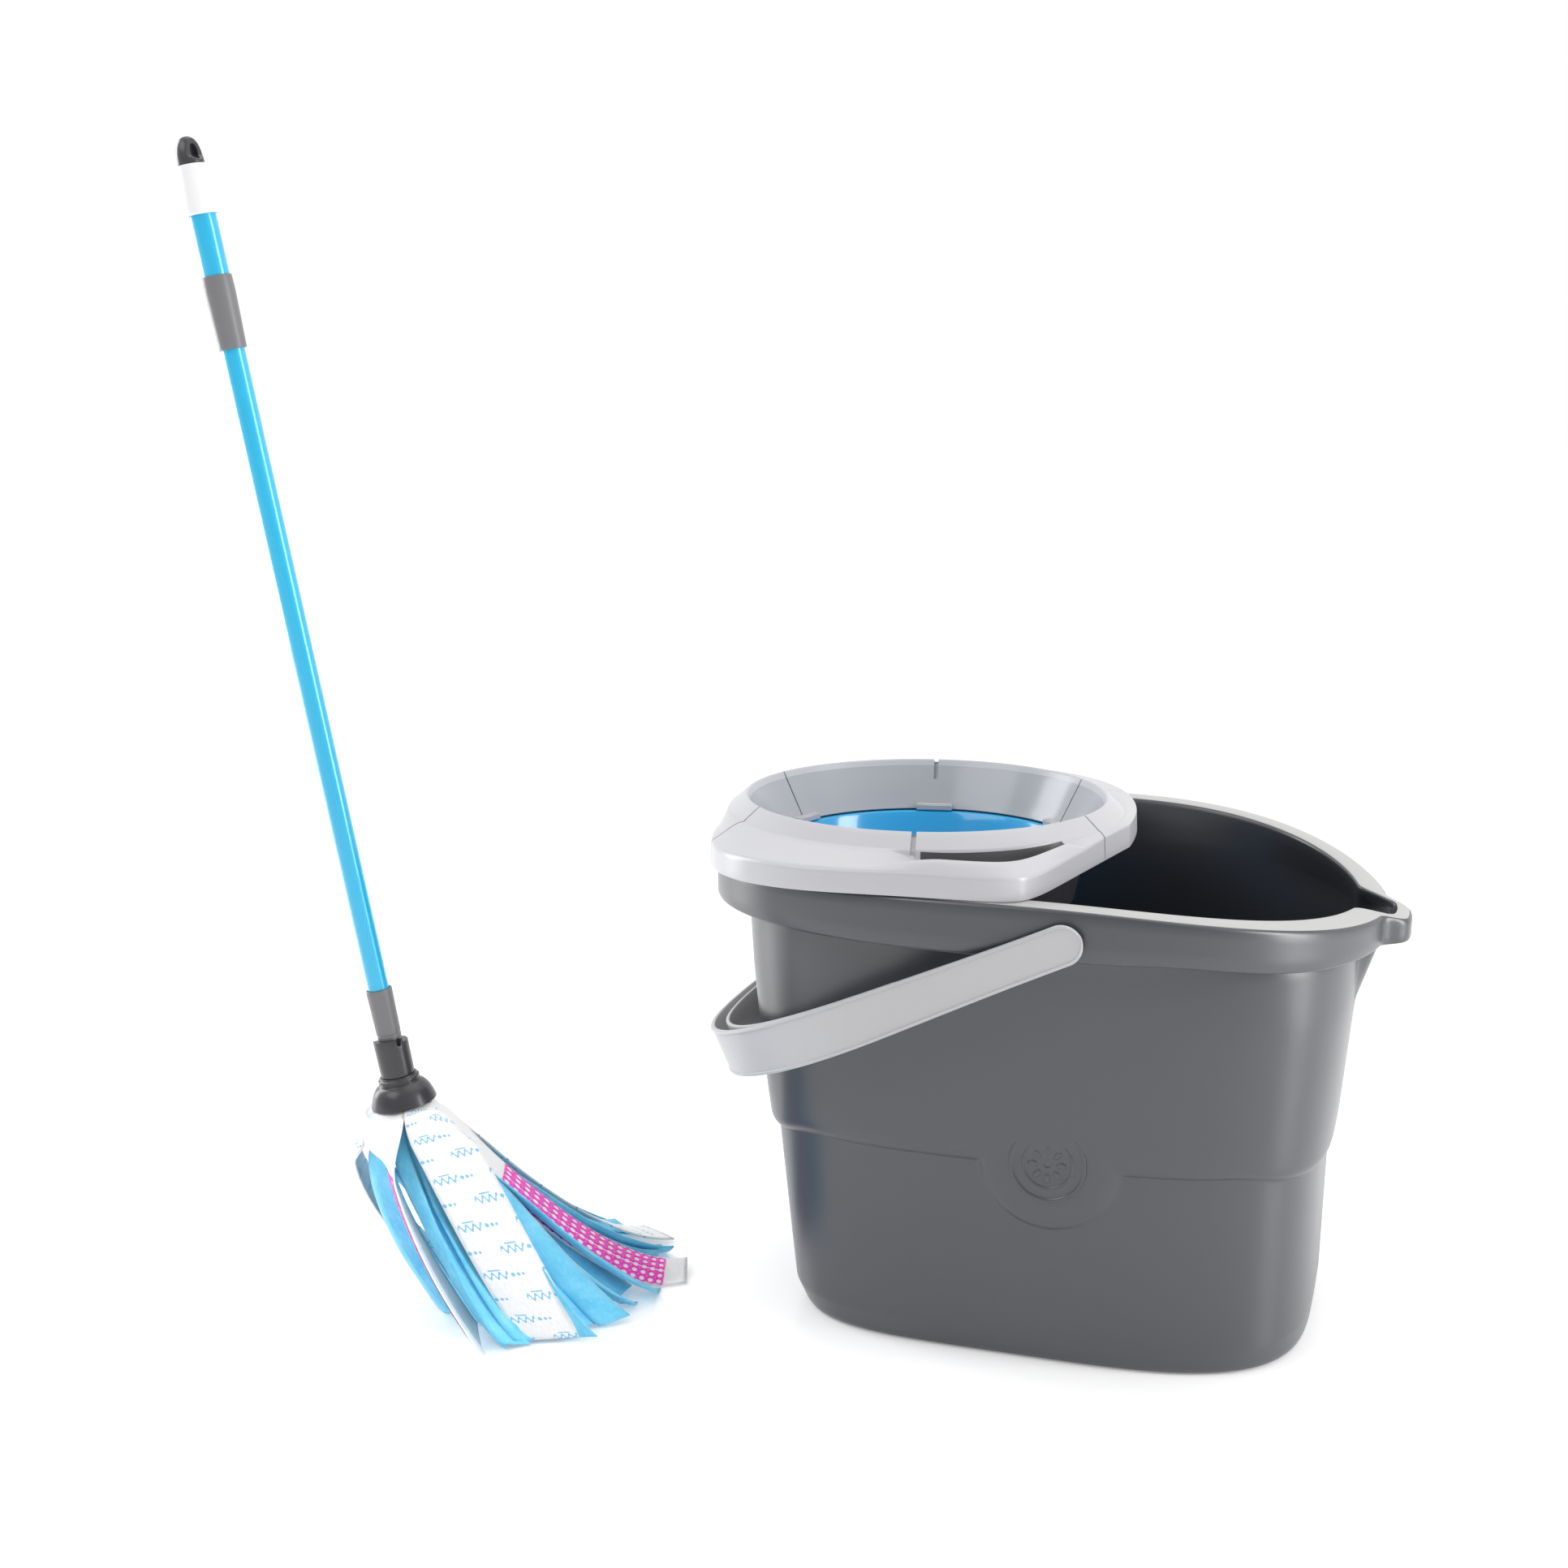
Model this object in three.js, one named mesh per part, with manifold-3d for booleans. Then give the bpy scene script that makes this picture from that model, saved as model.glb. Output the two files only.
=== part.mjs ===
// Spin mop set: a bucket with a carrying bail, a lift-off wringer holding a turning basket, and a strip mop
// on a telescopic handle. Millimetres, +Z up, origin at the middle of the bucket's base.
import * as THREE from 'three';
import { mergeVertices } from 'three/addons/utils/BufferGeometryUtils.js';
import Module from 'manifold-3d';

const wasm = await Module();
wasm.setup();

// ---- driving dimensions, bucket ----
const WALL = 3;
const FLOOR = 4;
const BAND_DRAFT = 0.4;
const RIM_MIDDLE_Z = 290.8;
const RIM_LEFT_DROP = 8;
const RIM_RIGHT_DROP = 28;
const BAND_BOTTOM_Z = 260;
const BAND_RIGHT_DROP = 13;
const STEP_LEFT_DROP = 14;
const STEP_RIGHT_DROP = 24;
const RIM_LEFT = 217;
const RIM_RIGHT = 202;
const RIM_HALF = 168;
const RIM_CROWN_REACH = 208;
const RIM_SHEET = 6;
const RIM_ROUND = 2;
const RIM_LAND = 18;
const SPOUT_REACH = 11;
const SPOUT_HALF_WIDTH = 22.5;
const OUTLINE_POINTS = 56;
const BADGE_CENTRE = { x: 22, y: -139, z: 130 };
const BADGE_DEPTH = 6;
const BADGE_RADIUS = 23;

// ---- driving dimensions, bail ----
const PIVOT = { x: 32.3, z: 271.4 };
const PIVOT_HALF_SPAN = 171;
const PEG_RADIUS = 6;
const PEG_LENGTH = 9.5;
const PEG_HOLE_RADIUS = 6.5;
const BAIL_DROOP = THREE.MathUtils.degToRad(25.3);
const BAIL_STRAP = 3.5;
const BAIL_REACH = 272;
const BAIL_GRIP_DEPTH = 16;
const BAIL_SHOULDER = 110;
const BAIL_SQUARENESS = 2.4;
const BAIL_EYE = 12;
const BAIL_GRIP_HALF_WIDTH = 15.4;
const BAIL_LINER = 2;
const BAIL_WEB = 3;

// ---- driving dimensions, wringer ----
const RING_X = -90;
const LIP_Z = 317;
const LIP_RADIUS = 115;
const SHOULDER_RADIUS = 127;
const SHOULDER_Z = 308.5;
const THROAT_RADIUS = 98;
const THROAT_Z = 286.2;
const SKIN = 2.6;
const RIM_GAP = 0.4;
const SKIRT = { x: -78, left: 139, right: 120, half: 164, leftPower: 2.6, backPower: 2.3 };
const SKIRT_EDGE = { inset: 1.5, lift: 8 };
const LUG = { power: 12, reach: 124.5, slant: 0.19, edgeZ: 306, crestZ: 311.5, pocketZ: 296.5 };
const GROOVE_TURN = THREE.MathUtils.degToRad(100.8);
const TAB = { length: 5.5, width: 25, height: 4 };
const RETAINER = { bottom: 278, shelf: 281.2, top: 286.6, bore: 96.5, inner: 101.4, outer: 104 };
const HOUSING = { z: 252, inner: 94, outer: 96.6 };
const BASKET_TOP_Z = 284.5;
const BASKET_FLANGE = 2.6;
const BASKET_FLANGE_RADIUS = 100.6;
const BASKET_MOUTH_RADIUS = 93;
const BASKET_FLOOR_Z = 186;
const BASKET_FLOOR_RADIUS = 60;
const BASKET_HUB_HOLE = 12;
const WALL_SLOT = { depth: 34, width: 5, height: 46, radius: 74, lift: 40 };
const FLOOR_SLOT = { length: 26, width: 5, radius: 38 };

// ---- driving dimensions, mop ----
const DOME_AT = new THREE.Vector3(-373.6, -185.7, 134.7);
const HANDLE_AXIS = new THREE.Vector3(-0.1685, -0.0553, 0.9842).normalize();
const LOWER_TUBE_RADIUS = 6.5;
const UPPER_TUBE_RADIUS = 7.5;
const TUBE_WALL = 0.9;
const SOCKET_TOP = 45.4;
const FERRULE_TOP = 78.5;
const SLEEVE_BOTTOM = 469.9;
const SLEEVE_TOP = 511.8;
const GRIP_BOTTOM = 546.2;
const GRIP_TOP = 574.2;
const CAP_TOP = 590;
const EYE_RADIUS = 3.2;
const EYE_TURN = THREE.MathUtils.degToRad(78);
const TIP_CENTRE = { x: -300, y: -120 };
const TIP_REACH = { x: 73, y: 100 };
const STRIP_SHEET = 2;
const STRIP_START = 2.4;

// ---- materials ----
function plastic(name, colour, roughness) {
  const material = new THREE.MeshStandardMaterial({ color: colour, roughness, metalness: 0 });
  material.name = name;
  return material;
}
const bucketGrey = plastic('bucket_plastic', 0x56575d, 0.45);
const ringGrey = plastic('ring_plastic', 0xcfcfd3, 0.35);
const bailGrey = plastic('bail_plastic', 0xb9b9be, 0.4);
const basketBlue = plastic('basket_plastic', 0x0098dc, 0.25);
const sleeveGrey = plastic('sleeve_plastic', 0x83838c, 0.45);
const darkGrey = plastic('dark_plastic', 0x45444a, 0.35);
const gripWhite = plastic('grip_plastic', 0xededed, 0.5);
const tubeBlue = new THREE.MeshStandardMaterial({ color: 0x12a9e2, roughness: 0.25, metalness: 0.3 });
const screwSteel = new THREE.MeshStandardMaterial({ color: 0xb0b2b5, roughness: 0.3, metalness: 1 });
const clothWhite = plastic('white_cloth', 0xececec, 0.9);
const clothBlue = plastic('blue_cloth', 0x7dcdf0, 0.9);

// ---- closed meshes ----
function signedVolume(points, faces) {
  return faces.reduce((sum, [a, b, c]) => sum + points[a].dot(points[b].clone().cross(points[c])), 0) / 6;
}

function closedGeometry(points, faces) {
  const outward = signedVolume(points, faces) > 0;
  const geometry = new THREE.BufferGeometry();
  geometry.setAttribute('position', new THREE.Float32BufferAttribute(points.flatMap((p) => p.toArray()), 3));
  geometry.setIndex(faces.flatMap(([a, b, c]) => (outward ? [a, b, c] : [a, c, b])));
  geometry.computeVertexNormals();
  return geometry;
}

// Skins a list of rings that all have the same number of points. A looped skin joins its last ring to its
// first; an open one gets a flat cap at each end.
function loft(rings, looped = false) {
  const count = rings[0].length;
  const points = rings.flat().map((p) => p.clone());
  const faces = [];
  const strips = looped ? rings.length : rings.length - 1;
  for (let i = 0; i < strips; i += 1) {
    const here = i * count;
    const next = ((i + 1) % rings.length) * count;
    for (let j = 0; j < count; j += 1) {
      const k = (j + 1) % count;
      faces.push([here + j, here + k, next + k], [here + j, next + k, next + j]);
    }
  }
  if (!looped) {
    const ends = [0, rings.length - 1];
    for (const end of ends) {
      const centre = new THREE.Vector3();
      rings[end].forEach((p) => centre.addScaledVector(p, 1 / count));
      points.push(centre);
      for (let j = 0; j < count; j += 1) {
        const a = end * count + j;
        const b = end * count + ((j + 1) % count);
        faces.push(end === 0 ? [points.length - 1, b, a] : [points.length - 1, a, b]);
      }
    }
  }
  return closedGeometry(points, faces);
}

function manifoldOf(geometry) {
  const bare = geometry.clone();
  bare.deleteAttribute('normal');
  bare.deleteAttribute('uv');
  const merged = mergeVertices(bare, 1e-4);
  return new wasm.Manifold(new wasm.Mesh({
    numProp: 3,
    vertProperties: Float32Array.from(merged.attributes.position.array),
    triVerts: Uint32Array.from(merged.index.array),
  }));
}

function geometryOf(solid) {
  const mesh = solid.getMesh();
  const geometry = new THREE.BufferGeometry();
  geometry.setAttribute('position', new THREE.Float32BufferAttribute(mesh.vertProperties, 3));
  geometry.setIndex(Array.from(mesh.triVerts));
  geometry.computeVertexNormals();
  return geometry;
}

function join(...geometries) {
  return geometryOf(geometries.map(manifoldOf).reduce((whole, piece) => whole.add(piece)));
}

function cut(geometry, cutters) {
  const whole = manifoldOf(geometry);
  return geometryOf(cutters.map(manifoldOf).reduce((left, cutter) => left.subtract(cutter), whole));
}

// The profile's corners in the order that turns it with its faces pointing out.
function outwardProfile(corners) {
  const area = corners.reduce((sum, [r, z], i) => {
    const [nextR, nextZ] = corners[(i + 1) % corners.length];
    return sum + r * nextZ - nextR * z;
  }, 0);
  return area > 0 ? corners : [...corners].reverse();
}

// A solid turned about Z from the [radius, z] corners of its profile, which is a closed loop clear of the
// axis, or runs from the axis to the axis.
function turned(corners, segments = 24) {
  const ordered = outwardProfile(corners);
  const onAxis = ordered.some(([r]) => r === 0);
  const start = onAxis ? ordered.findIndex(([r], i) => r === 0 && ordered.at(i - 1)[0] === 0) : 0;
  const loop = [...ordered.slice(start), ...ordered.slice(0, start)];
  const profile = onAxis ? loop : [...loop, loop[0]];
  const geometry = new THREE.LatheGeometry(profile.map(([r, z]) => new THREE.Vector2(r, z)), segments);
  return geometry.rotateX(Math.PI / 2);
}

function box(sizeX, sizeY, sizeZ, x, y, z) {
  return new THREE.BoxGeometry(sizeX, sizeY, sizeZ).translate(x, y, z);
}

function addMesh(group, name, geometry, material) {
  const mesh = new THREE.Mesh(geometry, material);
  mesh.name = name;
  group.add(mesh);
  return mesh;
}

// ---- bucket ----
function rimZ(x) {
  const drop = x > 0 ? RIM_RIGHT_DROP : RIM_LEFT_DROP;
  return RIM_MIDDLE_Z - drop * Math.abs(x / RIM_CROWN_REACH) ** 2.2;
}

function bandBottomZ(x) {
  return BAND_BOTTOM_Z - BAND_RIGHT_DROP * THREE.MathUtils.smoothstep(x, 80, 200);
}

// The step in the wall runs level along the sides and dips round both ends.
function stepDip(x) {
  const drop = x > 0 ? STEP_RIGHT_DROP : STEP_LEFT_DROP;
  return drop * THREE.MathUtils.smoothstep(Math.abs(x), 125, 178);
}

// Plan outline of the bucket at one level: rounded box or egg, by its reach to the left and right, its half
// width, how square each end is, and how far the spout stands out of the right end.
function outline({ left, right, half, leftPower, rightPower, rightFall, spout = 0 }, level) {
  return Array.from({ length: OUTLINE_POINTS }, (_, i) => {
    const turn = (2 * Math.PI * i) / OUTLINE_POINTS;
    const c = Math.cos(turn);
    const s = Math.sin(turn);
    const power = c > 0 ? rightPower : leftPower;
    const fall = c > 0 ? rightFall : leftPower;
    let x = Math.sign(c) * (c > 0 ? right : left) * Math.abs(c) ** (2 / power);
    const y = Math.sign(s) * half * Math.abs(s) ** (2 / fall);
    if (c > 0) {
      x += spout * Math.exp(-((y / SPOUT_HALF_WIDTH) ** 4));
    }
    return new THREE.Vector3(x, y, level(x));
  });
}

const flat = (z) => () => z;

// Body outlines from the base up: height, reach left and right, half width, and how square the ends are.
const BODY_LEVELS = [
  { z: 0, dip: 0, left: 148, right: 168, half: 130, leftPower: 4.3, rightPower: 3.5 },
  { z: 16, dip: 0, left: 156, right: 169.5, half: 134, leftPower: 4.2, rightPower: 3.5 },
  { z: 117, dip: 1, left: 168, right: 171.5, half: 138, leftPower: 4, rightPower: 3.5 },
  { z: 126, dip: 1, left: 171, right: 174.5, half: 140, leftPower: 4, rightPower: 3.5 },
  { z: 140, dip: 1, left: 176, right: 178.5, half: 142, leftPower: 3.9, rightPower: 3.4 },
  { z: 215, dip: 0, left: 188, right: 185, half: 145, leftPower: 3.4, rightPower: 3.2 },
];

function bodyOutline(level, inset, z = (x) => level.z - level.dip * stepDip(x), spout = 0) {
  return outline({
    left: level.left - inset,
    right: level.right - inset,
    half: level.half - inset,
    leftPower: level.leftPower,
    rightPower: level.rightPower,
    rightFall: level.rightPower,
    spout,
  }, z);
}

const BODY_TOP = { left: 193, right: 187, half: 147, leftPower: 3.1, rightPower: 2.9 };

function rimOutline(inset, level, spout = SPOUT_REACH) {
  return outline({
    left: RIM_LEFT - inset,
    right: RIM_RIGHT - inset,
    half: RIM_HALF - inset,
    leftPower: 2.6,
    rightPower: 3,
    rightFall: 1.75,
    spout,
  }, level);
}

// Under the rim the wall leans out to meet the rim's inner edge, and the band hangs clear outside it.
function bucketShell() {
  const underRim = (x) => rimZ(x) - RIM_SHEET;
  const roundedRim = (x) => rimZ(x) - RIM_ROUND;
  const rings = [
    ...BODY_LEVELS.map((level) => bodyOutline(level, 0)),
    bodyOutline(BODY_TOP, 0, bandBottomZ, SPOUT_REACH),
    rimOutline(RIM_LAND - WALL - 1, underRim),
    rimOutline(WALL, underRim),
    rimOutline(WALL, bandBottomZ),
    rimOutline(BAND_DRAFT, bandBottomZ),
    rimOutline(0, roundedRim),
    rimOutline(RIM_ROUND, rimZ),
    rimOutline(RIM_LAND - 1, rimZ),
    rimOutline(RIM_LAND, roundedRim),
    bodyOutline(BODY_TOP, WALL, bandBottomZ, SPOUT_REACH),
    ...[...BODY_LEVELS].reverse().slice(0, 5).map((level) => bodyOutline(level, WALL)),
    bodyOutline(BODY_LEVELS[0], 2 * WALL, flat(FLOOR)),
  ];
  const badge = new THREE.CylinderGeometry(BADGE_RADIUS, BADGE_RADIUS, BADGE_DEPTH, 32);
  badge.translate(BADGE_CENTRE.x, BADGE_CENTRE.y, BADGE_CENTRE.z);
  const holes = [-1, 1].map((side) => {
    const hole = new THREE.CylinderGeometry(PEG_HOLE_RADIUS, PEG_HOLE_RADIUS, 16, 20);
    return hole.translate(PIVOT.x, side * (PIVOT_HALF_SPAN - 6), PIVOT.z);
  });
  return cut(join(loft(rings), badge), holes);
}

// ---- bail, modelled flat: x runs from the pivots to the grip, z across the strap ----
const BAIL_SAMPLES = 28;

function bailPath(reach, half, start) {
  const power = 2 / BAIL_SQUARENESS;
  const points = [];
  for (let i = 0; i <= BAIL_SAMPLES; i += 1) {
    const turn = -Math.PI / 2 + (Math.PI * i) / BAIL_SAMPLES;
    const c = Math.max(Math.cos(turn), 0);
    const s = Math.sin(turn);
    const x = BAIL_SHOULDER + (reach - BAIL_SHOULDER) * c ** power;
    points.push(new THREE.Vector2(x, Math.sign(s) * half * Math.abs(s) ** power));
  }
  return [new THREE.Vector2(start, -half), ...points, new THREE.Vector2(start, half)];
}

function strapHalfWidth(x) {
  return THREE.MathUtils.lerp(BAIL_EYE, BAIL_GRIP_HALF_WIDTH, THREE.MathUtils.smoothstep(x, 0, 190));
}

// A band of the given thickness inside a path, as wide as the strap is there.
function strap(path, thickness) {
  const rings = path.map((point, i) => {
    const before = path[Math.max(i - 1, 0)];
    const after = path[Math.min(i + 1, path.length - 1)];
    const along = after.clone().sub(before).normalize();
    const inner = new THREE.Vector2(point.x - along.y * thickness, point.y + along.x * thickness);
    const half = strapHalfWidth(point.x);
    return [
      new THREE.Vector3(point.x, point.y, half),
      new THREE.Vector3(point.x, point.y, -half),
      new THREE.Vector3(inner.x, inner.y, -half),
      new THREE.Vector3(inner.x, inner.y, half),
    ];
  });
  return loft(rings);
}

function bailHandle() {
  const half = PIVOT_HALF_SPAN + BAIL_STRAP;
  const outerPath = bailPath(BAIL_REACH, half, 0);
  const innerPath = bailPath(BAIL_REACH - BAIL_GRIP_DEPTH + BAIL_STRAP, half - 1.5, BAIL_SHOULDER - 10);
  const pieces = [strap(outerPath, BAIL_STRAP), strap(innerPath, BAIL_LINER)];
  for (const side of [-1, 1]) {
    const eye = new THREE.CylinderGeometry(BAIL_EYE, BAIL_EYE, BAIL_STRAP, 28);
    eye.translate(0, side * (half - BAIL_STRAP / 2), 0);
    const peg = new THREE.CylinderGeometry(PEG_RADIUS, PEG_RADIUS, PEG_LENGTH, 20);
    peg.translate(0, side * (half - BAIL_STRAP - 4), 0);
    pieces.push(eye, peg);
  }
  return join(...pieces, webBetween(outerPath, innerPath));
}

// The floor of the grip's channel, between the outer strap and the inner one.
function webBetween(outerPath, innerPath) {
  const outer = outerPath.slice(1, -1);
  const inner = innerPath.slice(1, -1);
  const rings = outer.map((point, i) => {
    const mid = inner[i];
    const a = point.clone().lerp(mid, 0.1);
    const b = mid.clone().lerp(point, 0.1);
    return [
      new THREE.Vector3(a.x, a.y, BAIL_WEB / 2),
      new THREE.Vector3(a.x, a.y, -BAIL_WEB / 2),
      new THREE.Vector3(b.x, b.y, -BAIL_WEB / 2),
      new THREE.Vector3(b.x, b.y, BAIL_WEB / 2),
    ];
  });
  return loft(rings);
}

// ---- wringer ----
function circle(radius, z, points = OUTLINE_POINTS) {
  return Array.from({ length: points }, (_, i) => {
    const turn = (2 * Math.PI * i) / points;
    return new THREE.Vector3(RING_X + radius * Math.cos(turn), radius * Math.sin(turn), z);
  });
}

// Plan outline of the skirt that sits on the rim: the bucket's own round end on the left, and on the right a
// rounder corner at the back and a square one at the front, which is the lifting lug.
function skirtOutline(inset, lift) {
  return Array.from({ length: OUTLINE_POINTS }, (_, i) => {
    const turn = (2 * Math.PI * i) / OUTLINE_POINTS;
    const c = Math.cos(turn);
    const s = Math.sin(turn);
    const lug = c > 0 && s < 0;
    const rightPower = lug ? LUG.power : SKIRT.backPower;
    const power = c > 0 ? rightPower : SKIRT.leftPower;
    const y = Math.sign(s) * (SKIRT.half - inset) * Math.abs(s) ** (2 / power);
    const rightReach = lug ? LUG.reach - LUG.slant * Math.abs(y) : SKIRT.right;
    const reach = (c > 0 ? rightReach : SKIRT.left) - inset;
    const x = SKIRT.x + Math.sign(c) * reach * Math.abs(c) ** (2 / power);
    return new THREE.Vector3(x, y, rimZ(x) + lift);
  });
}

// How much a place on the deck belongs to the lug: all of it from 1, none at 0.
function lugShare(x, y) {
  return THREE.MathUtils.smoothstep(x, -88, -40) * THREE.MathUtils.smoothstep(-y, 70, 100);
}

// A ring of the deck, from the skirt's edge at share 0 to the shoulder at share 1, with the lug's own height.
function deckOutline(share, lugZ, drop = 0) {
  const shoulder = circle(SHOULDER_RADIUS, SHOULDER_Z);
  return skirtOutline(SKIRT_EDGE.inset, SKIRT_EDGE.lift).map((edge, i) => {
    const point = edge.clone().lerp(shoulder[i], share);
    point.z = THREE.MathUtils.lerp(point.z, lugZ, lugShare(point.x, point.y)) - drop;
    return point;
  });
}

function wringerRing() {
  const skin = loft([
    circle(LIP_RADIUS, LIP_Z - 1),
    circle(LIP_RADIUS + 1.5, LIP_Z),
    circle(SHOULDER_RADIUS, SHOULDER_Z),
    deckOutline(0.88, LUG.pocketZ),
    deckOutline(0.27, LUG.pocketZ),
    deckOutline(0.2, LUG.crestZ),
    deckOutline(0, LUG.edgeZ),
    skirtOutline(0, RIM_GAP),
    skirtOutline(SKIN, RIM_GAP),
    deckOutline(0.1, LUG.pocketZ, SKIN),
    deckOutline(0.88, LUG.pocketZ, SKIN),
    circle(SHOULDER_RADIUS - SKIN, SHOULDER_Z - SKIN),
    circle(LIP_RADIUS + 3, LIP_Z - 6),
    circle(THROAT_RADIUS + SKIN, THROAT_Z),
    circle(THROAT_RADIUS, THROAT_Z),
  ], true);
  const tabs = [];
  const grooves = [];
  for (let k = 0; k < 6; k += 1) {
    const turn = GROOVE_TURN + (k * Math.PI) / 3;
    const tab = box(TAB.length, TAB.width, TAB.height, THROAT_RADIUS - 1.4, 0, THROAT_Z + 1.7);
    tabs.push(tab.rotateZ(turn).translate(RING_X, 0, 0));
    const groove = box(26, k % 3 === 0 ? 3 : 1, 3, LIP_RADIUS + 5, 0, LIP_Z);
    grooves.push(groove.rotateZ(turn).translate(RING_X, 0, 0));
  }
  return cut(join(skin, ...tabs), grooves);
}

// The housing under the throat: its inner ledge carries the basket's flange and lets it turn, and its wall
// hangs round the top of the basket.
function basketRetainer() {
  const ring = turned([
    [RETAINER.bore, RETAINER.bottom],
    [HOUSING.inner, HOUSING.z],
    [HOUSING.outer, HOUSING.z],
    [RETAINER.outer, RETAINER.top],
    [RETAINER.inner, RETAINER.top],
    [RETAINER.inner, RETAINER.shelf],
    [RETAINER.bore, RETAINER.shelf],
  ], 48);
  return ring.translate(RING_X, 0, 0);
}

function wringerBasket() {
  const under = BASKET_TOP_Z - BASKET_FLANGE;
  const cone = turned([
    [BASKET_MOUTH_RADIUS, BASKET_TOP_Z],
    [BASKET_FLANGE_RADIUS, BASKET_TOP_Z],
    [BASKET_FLANGE_RADIUS, under],
    [BASKET_MOUTH_RADIUS + 2, under],
    [BASKET_FLOOR_RADIUS + 2.4, BASKET_FLOOR_Z],
    [BASKET_HUB_HOLE, BASKET_FLOOR_Z],
    [BASKET_HUB_HOLE, BASKET_FLOOR_Z + SKIN],
    [BASKET_FLOOR_RADIUS, BASKET_FLOOR_Z + SKIN],
  ], 48);
  const slots = [];
  for (let k = 0; k < 12; k += 1) {
    const turn = (k * Math.PI) / 6;
    const { depth, width, height, radius, lift } = WALL_SLOT;
    slots.push(box(depth, width, height, radius, 0, BASKET_FLOOR_Z + lift).rotateZ(turn));
    const floorSlot = box(FLOOR_SLOT.length, FLOOR_SLOT.width, 12, FLOOR_SLOT.radius, 0, BASKET_FLOOR_Z);
    slots.push(floorSlot.rotateZ(turn));
  }
  return cut(cone, slots).translate(RING_X, 0, 0);
}

// ---- mop head and handle, modelled upright with the dome's open edge at z = 0 ----
function headDome() {
  return turned([
    [17.4, 0], [19.5, 0], [19, 6], [17, 11], [14, 14.6], [12.3, 16.4], [12.3, 19.6], [6.2, 19.6], [6.2, 17],
    [11, 14.5], [15, 9], [17, 5],
  ], 32);
}

function headSocket() {
  return turned([[6.9, 19.9], [10.4, 19.9], [10.7, 43], [10.4, SOCKET_TOP], [6.9, SOCKET_TOP]], 32);
}

function clampPlate() {
  return turned([[2.6, -3], [5.6, -3], [5.6, 15.5], [2.6, 15.5]], 20);
}

function clampScrew() {
  return turned([[0, -6], [4.6, -6], [4.6, -3.3], [2.2, -3.3], [2.2, 21], [0, 22]], 16);
}

function handleFerrule() {
  return turned([
    [0.6, 24], [6.5, 24], [6.5, SOCKET_TOP + 0.3], [7.3, SOCKET_TOP + 0.3], [7.5, 49], [7.2, 49.4],
    [7.5, 49.8],
    [8.1, FERRULE_TOP - 1], [7.8, FERRULE_TOP], [6.8, FERRULE_TOP], [6.8, 52], [0.6, 52],
  ], 32);
}

function tube(radius, bottom, top) {
  const bore = radius - TUBE_WALL;
  return turned([[bore, bottom], [radius, bottom], [radius, top], [bore, top]], 28);
}

function tubeEndBush() {
  return turned([[1.5, 488], [5.3, 488], [5.3, 505.3], [6.3, 505.3], [6.3, 510], [1.5, 510]], 24);
}

function lockSleeve() {
  return turned([
    [6.85, SLEEVE_BOTTOM], [7.5, SLEEVE_BOTTOM], [8.4, 484], [9.2, 497], [9.3, 504], [8.6, 510.5],
    [8.2, SLEEVE_TOP], [7.8, SLEEVE_TOP], [7.8, 471.6], [6.85, 471.6],
  ], 32);
}

function lockCollet() {
  const bush = turned([[6.8, 472], [7.5, 472], [7.5, 479.6], [6.8, 479.6]], 28);
  return cut(bush, [box(4, 1.2, 10, 8, 0, 474.5)]);
}

function handGrip() {
  return turned([
    [7.8, GRIP_BOTTOM], [9.3, GRIP_BOTTOM], [9.6, 549], [9.2, 556], [8.2, 568], [7.9, GRIP_TOP],
    [7.8, GRIP_TOP],
  ], 32);
}

function hangCap() {
  const bullet = turned([
    [0, 564], [6.3, 564], [6.3, 574.6], [7.6, 574.6], [7.6, 576], [7.2, 581], [6, 585.5], [3.6, 588.9],
    [0, CAP_TOP],
  ], 28);
  const eye = new THREE.CylinderGeometry(EYE_RADIUS, EYE_RADIUS, 24, 20);
  eye.scale(1, 1, 1.45).rotateZ(EYE_TURN).translate(0, 0, 581);
  return cut(bullet, [eye]);
}

// ---- cloth strips ----
const UP = new THREE.Vector3(0, 0, 1);

// The head stands with its strips swept to one side: the direction, in degrees, of a strip's tip from the
// middle of the tips, by the direction the strip leaves the dome in.
const SWEPT_FROM = [269, 299, 329, 389, 449, 509, 569, 629];
const SWEPT_TO = [262, 279, 297, 380, 424, 480, 550, 622];

function sweptDegrees(degrees) {
  const from = degrees < SWEPT_FROM[0] ? degrees + 360 : degrees;
  const k = SWEPT_FROM.findIndex((high, i) => i > 0 && from <= high);
  const share = (from - SWEPT_FROM[k - 1]) / (SWEPT_FROM[k] - SWEPT_FROM[k - 1]);
  return THREE.MathUtils.lerp(SWEPT_TO[k - 1], SWEPT_TO[k], share) + degrees - from;
}

function outward(degrees) {
  const turn = THREE.MathUtils.degToRad(degrees);
  return new THREE.Vector3(Math.cos(turn), Math.sin(turn), 0);
}

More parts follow.
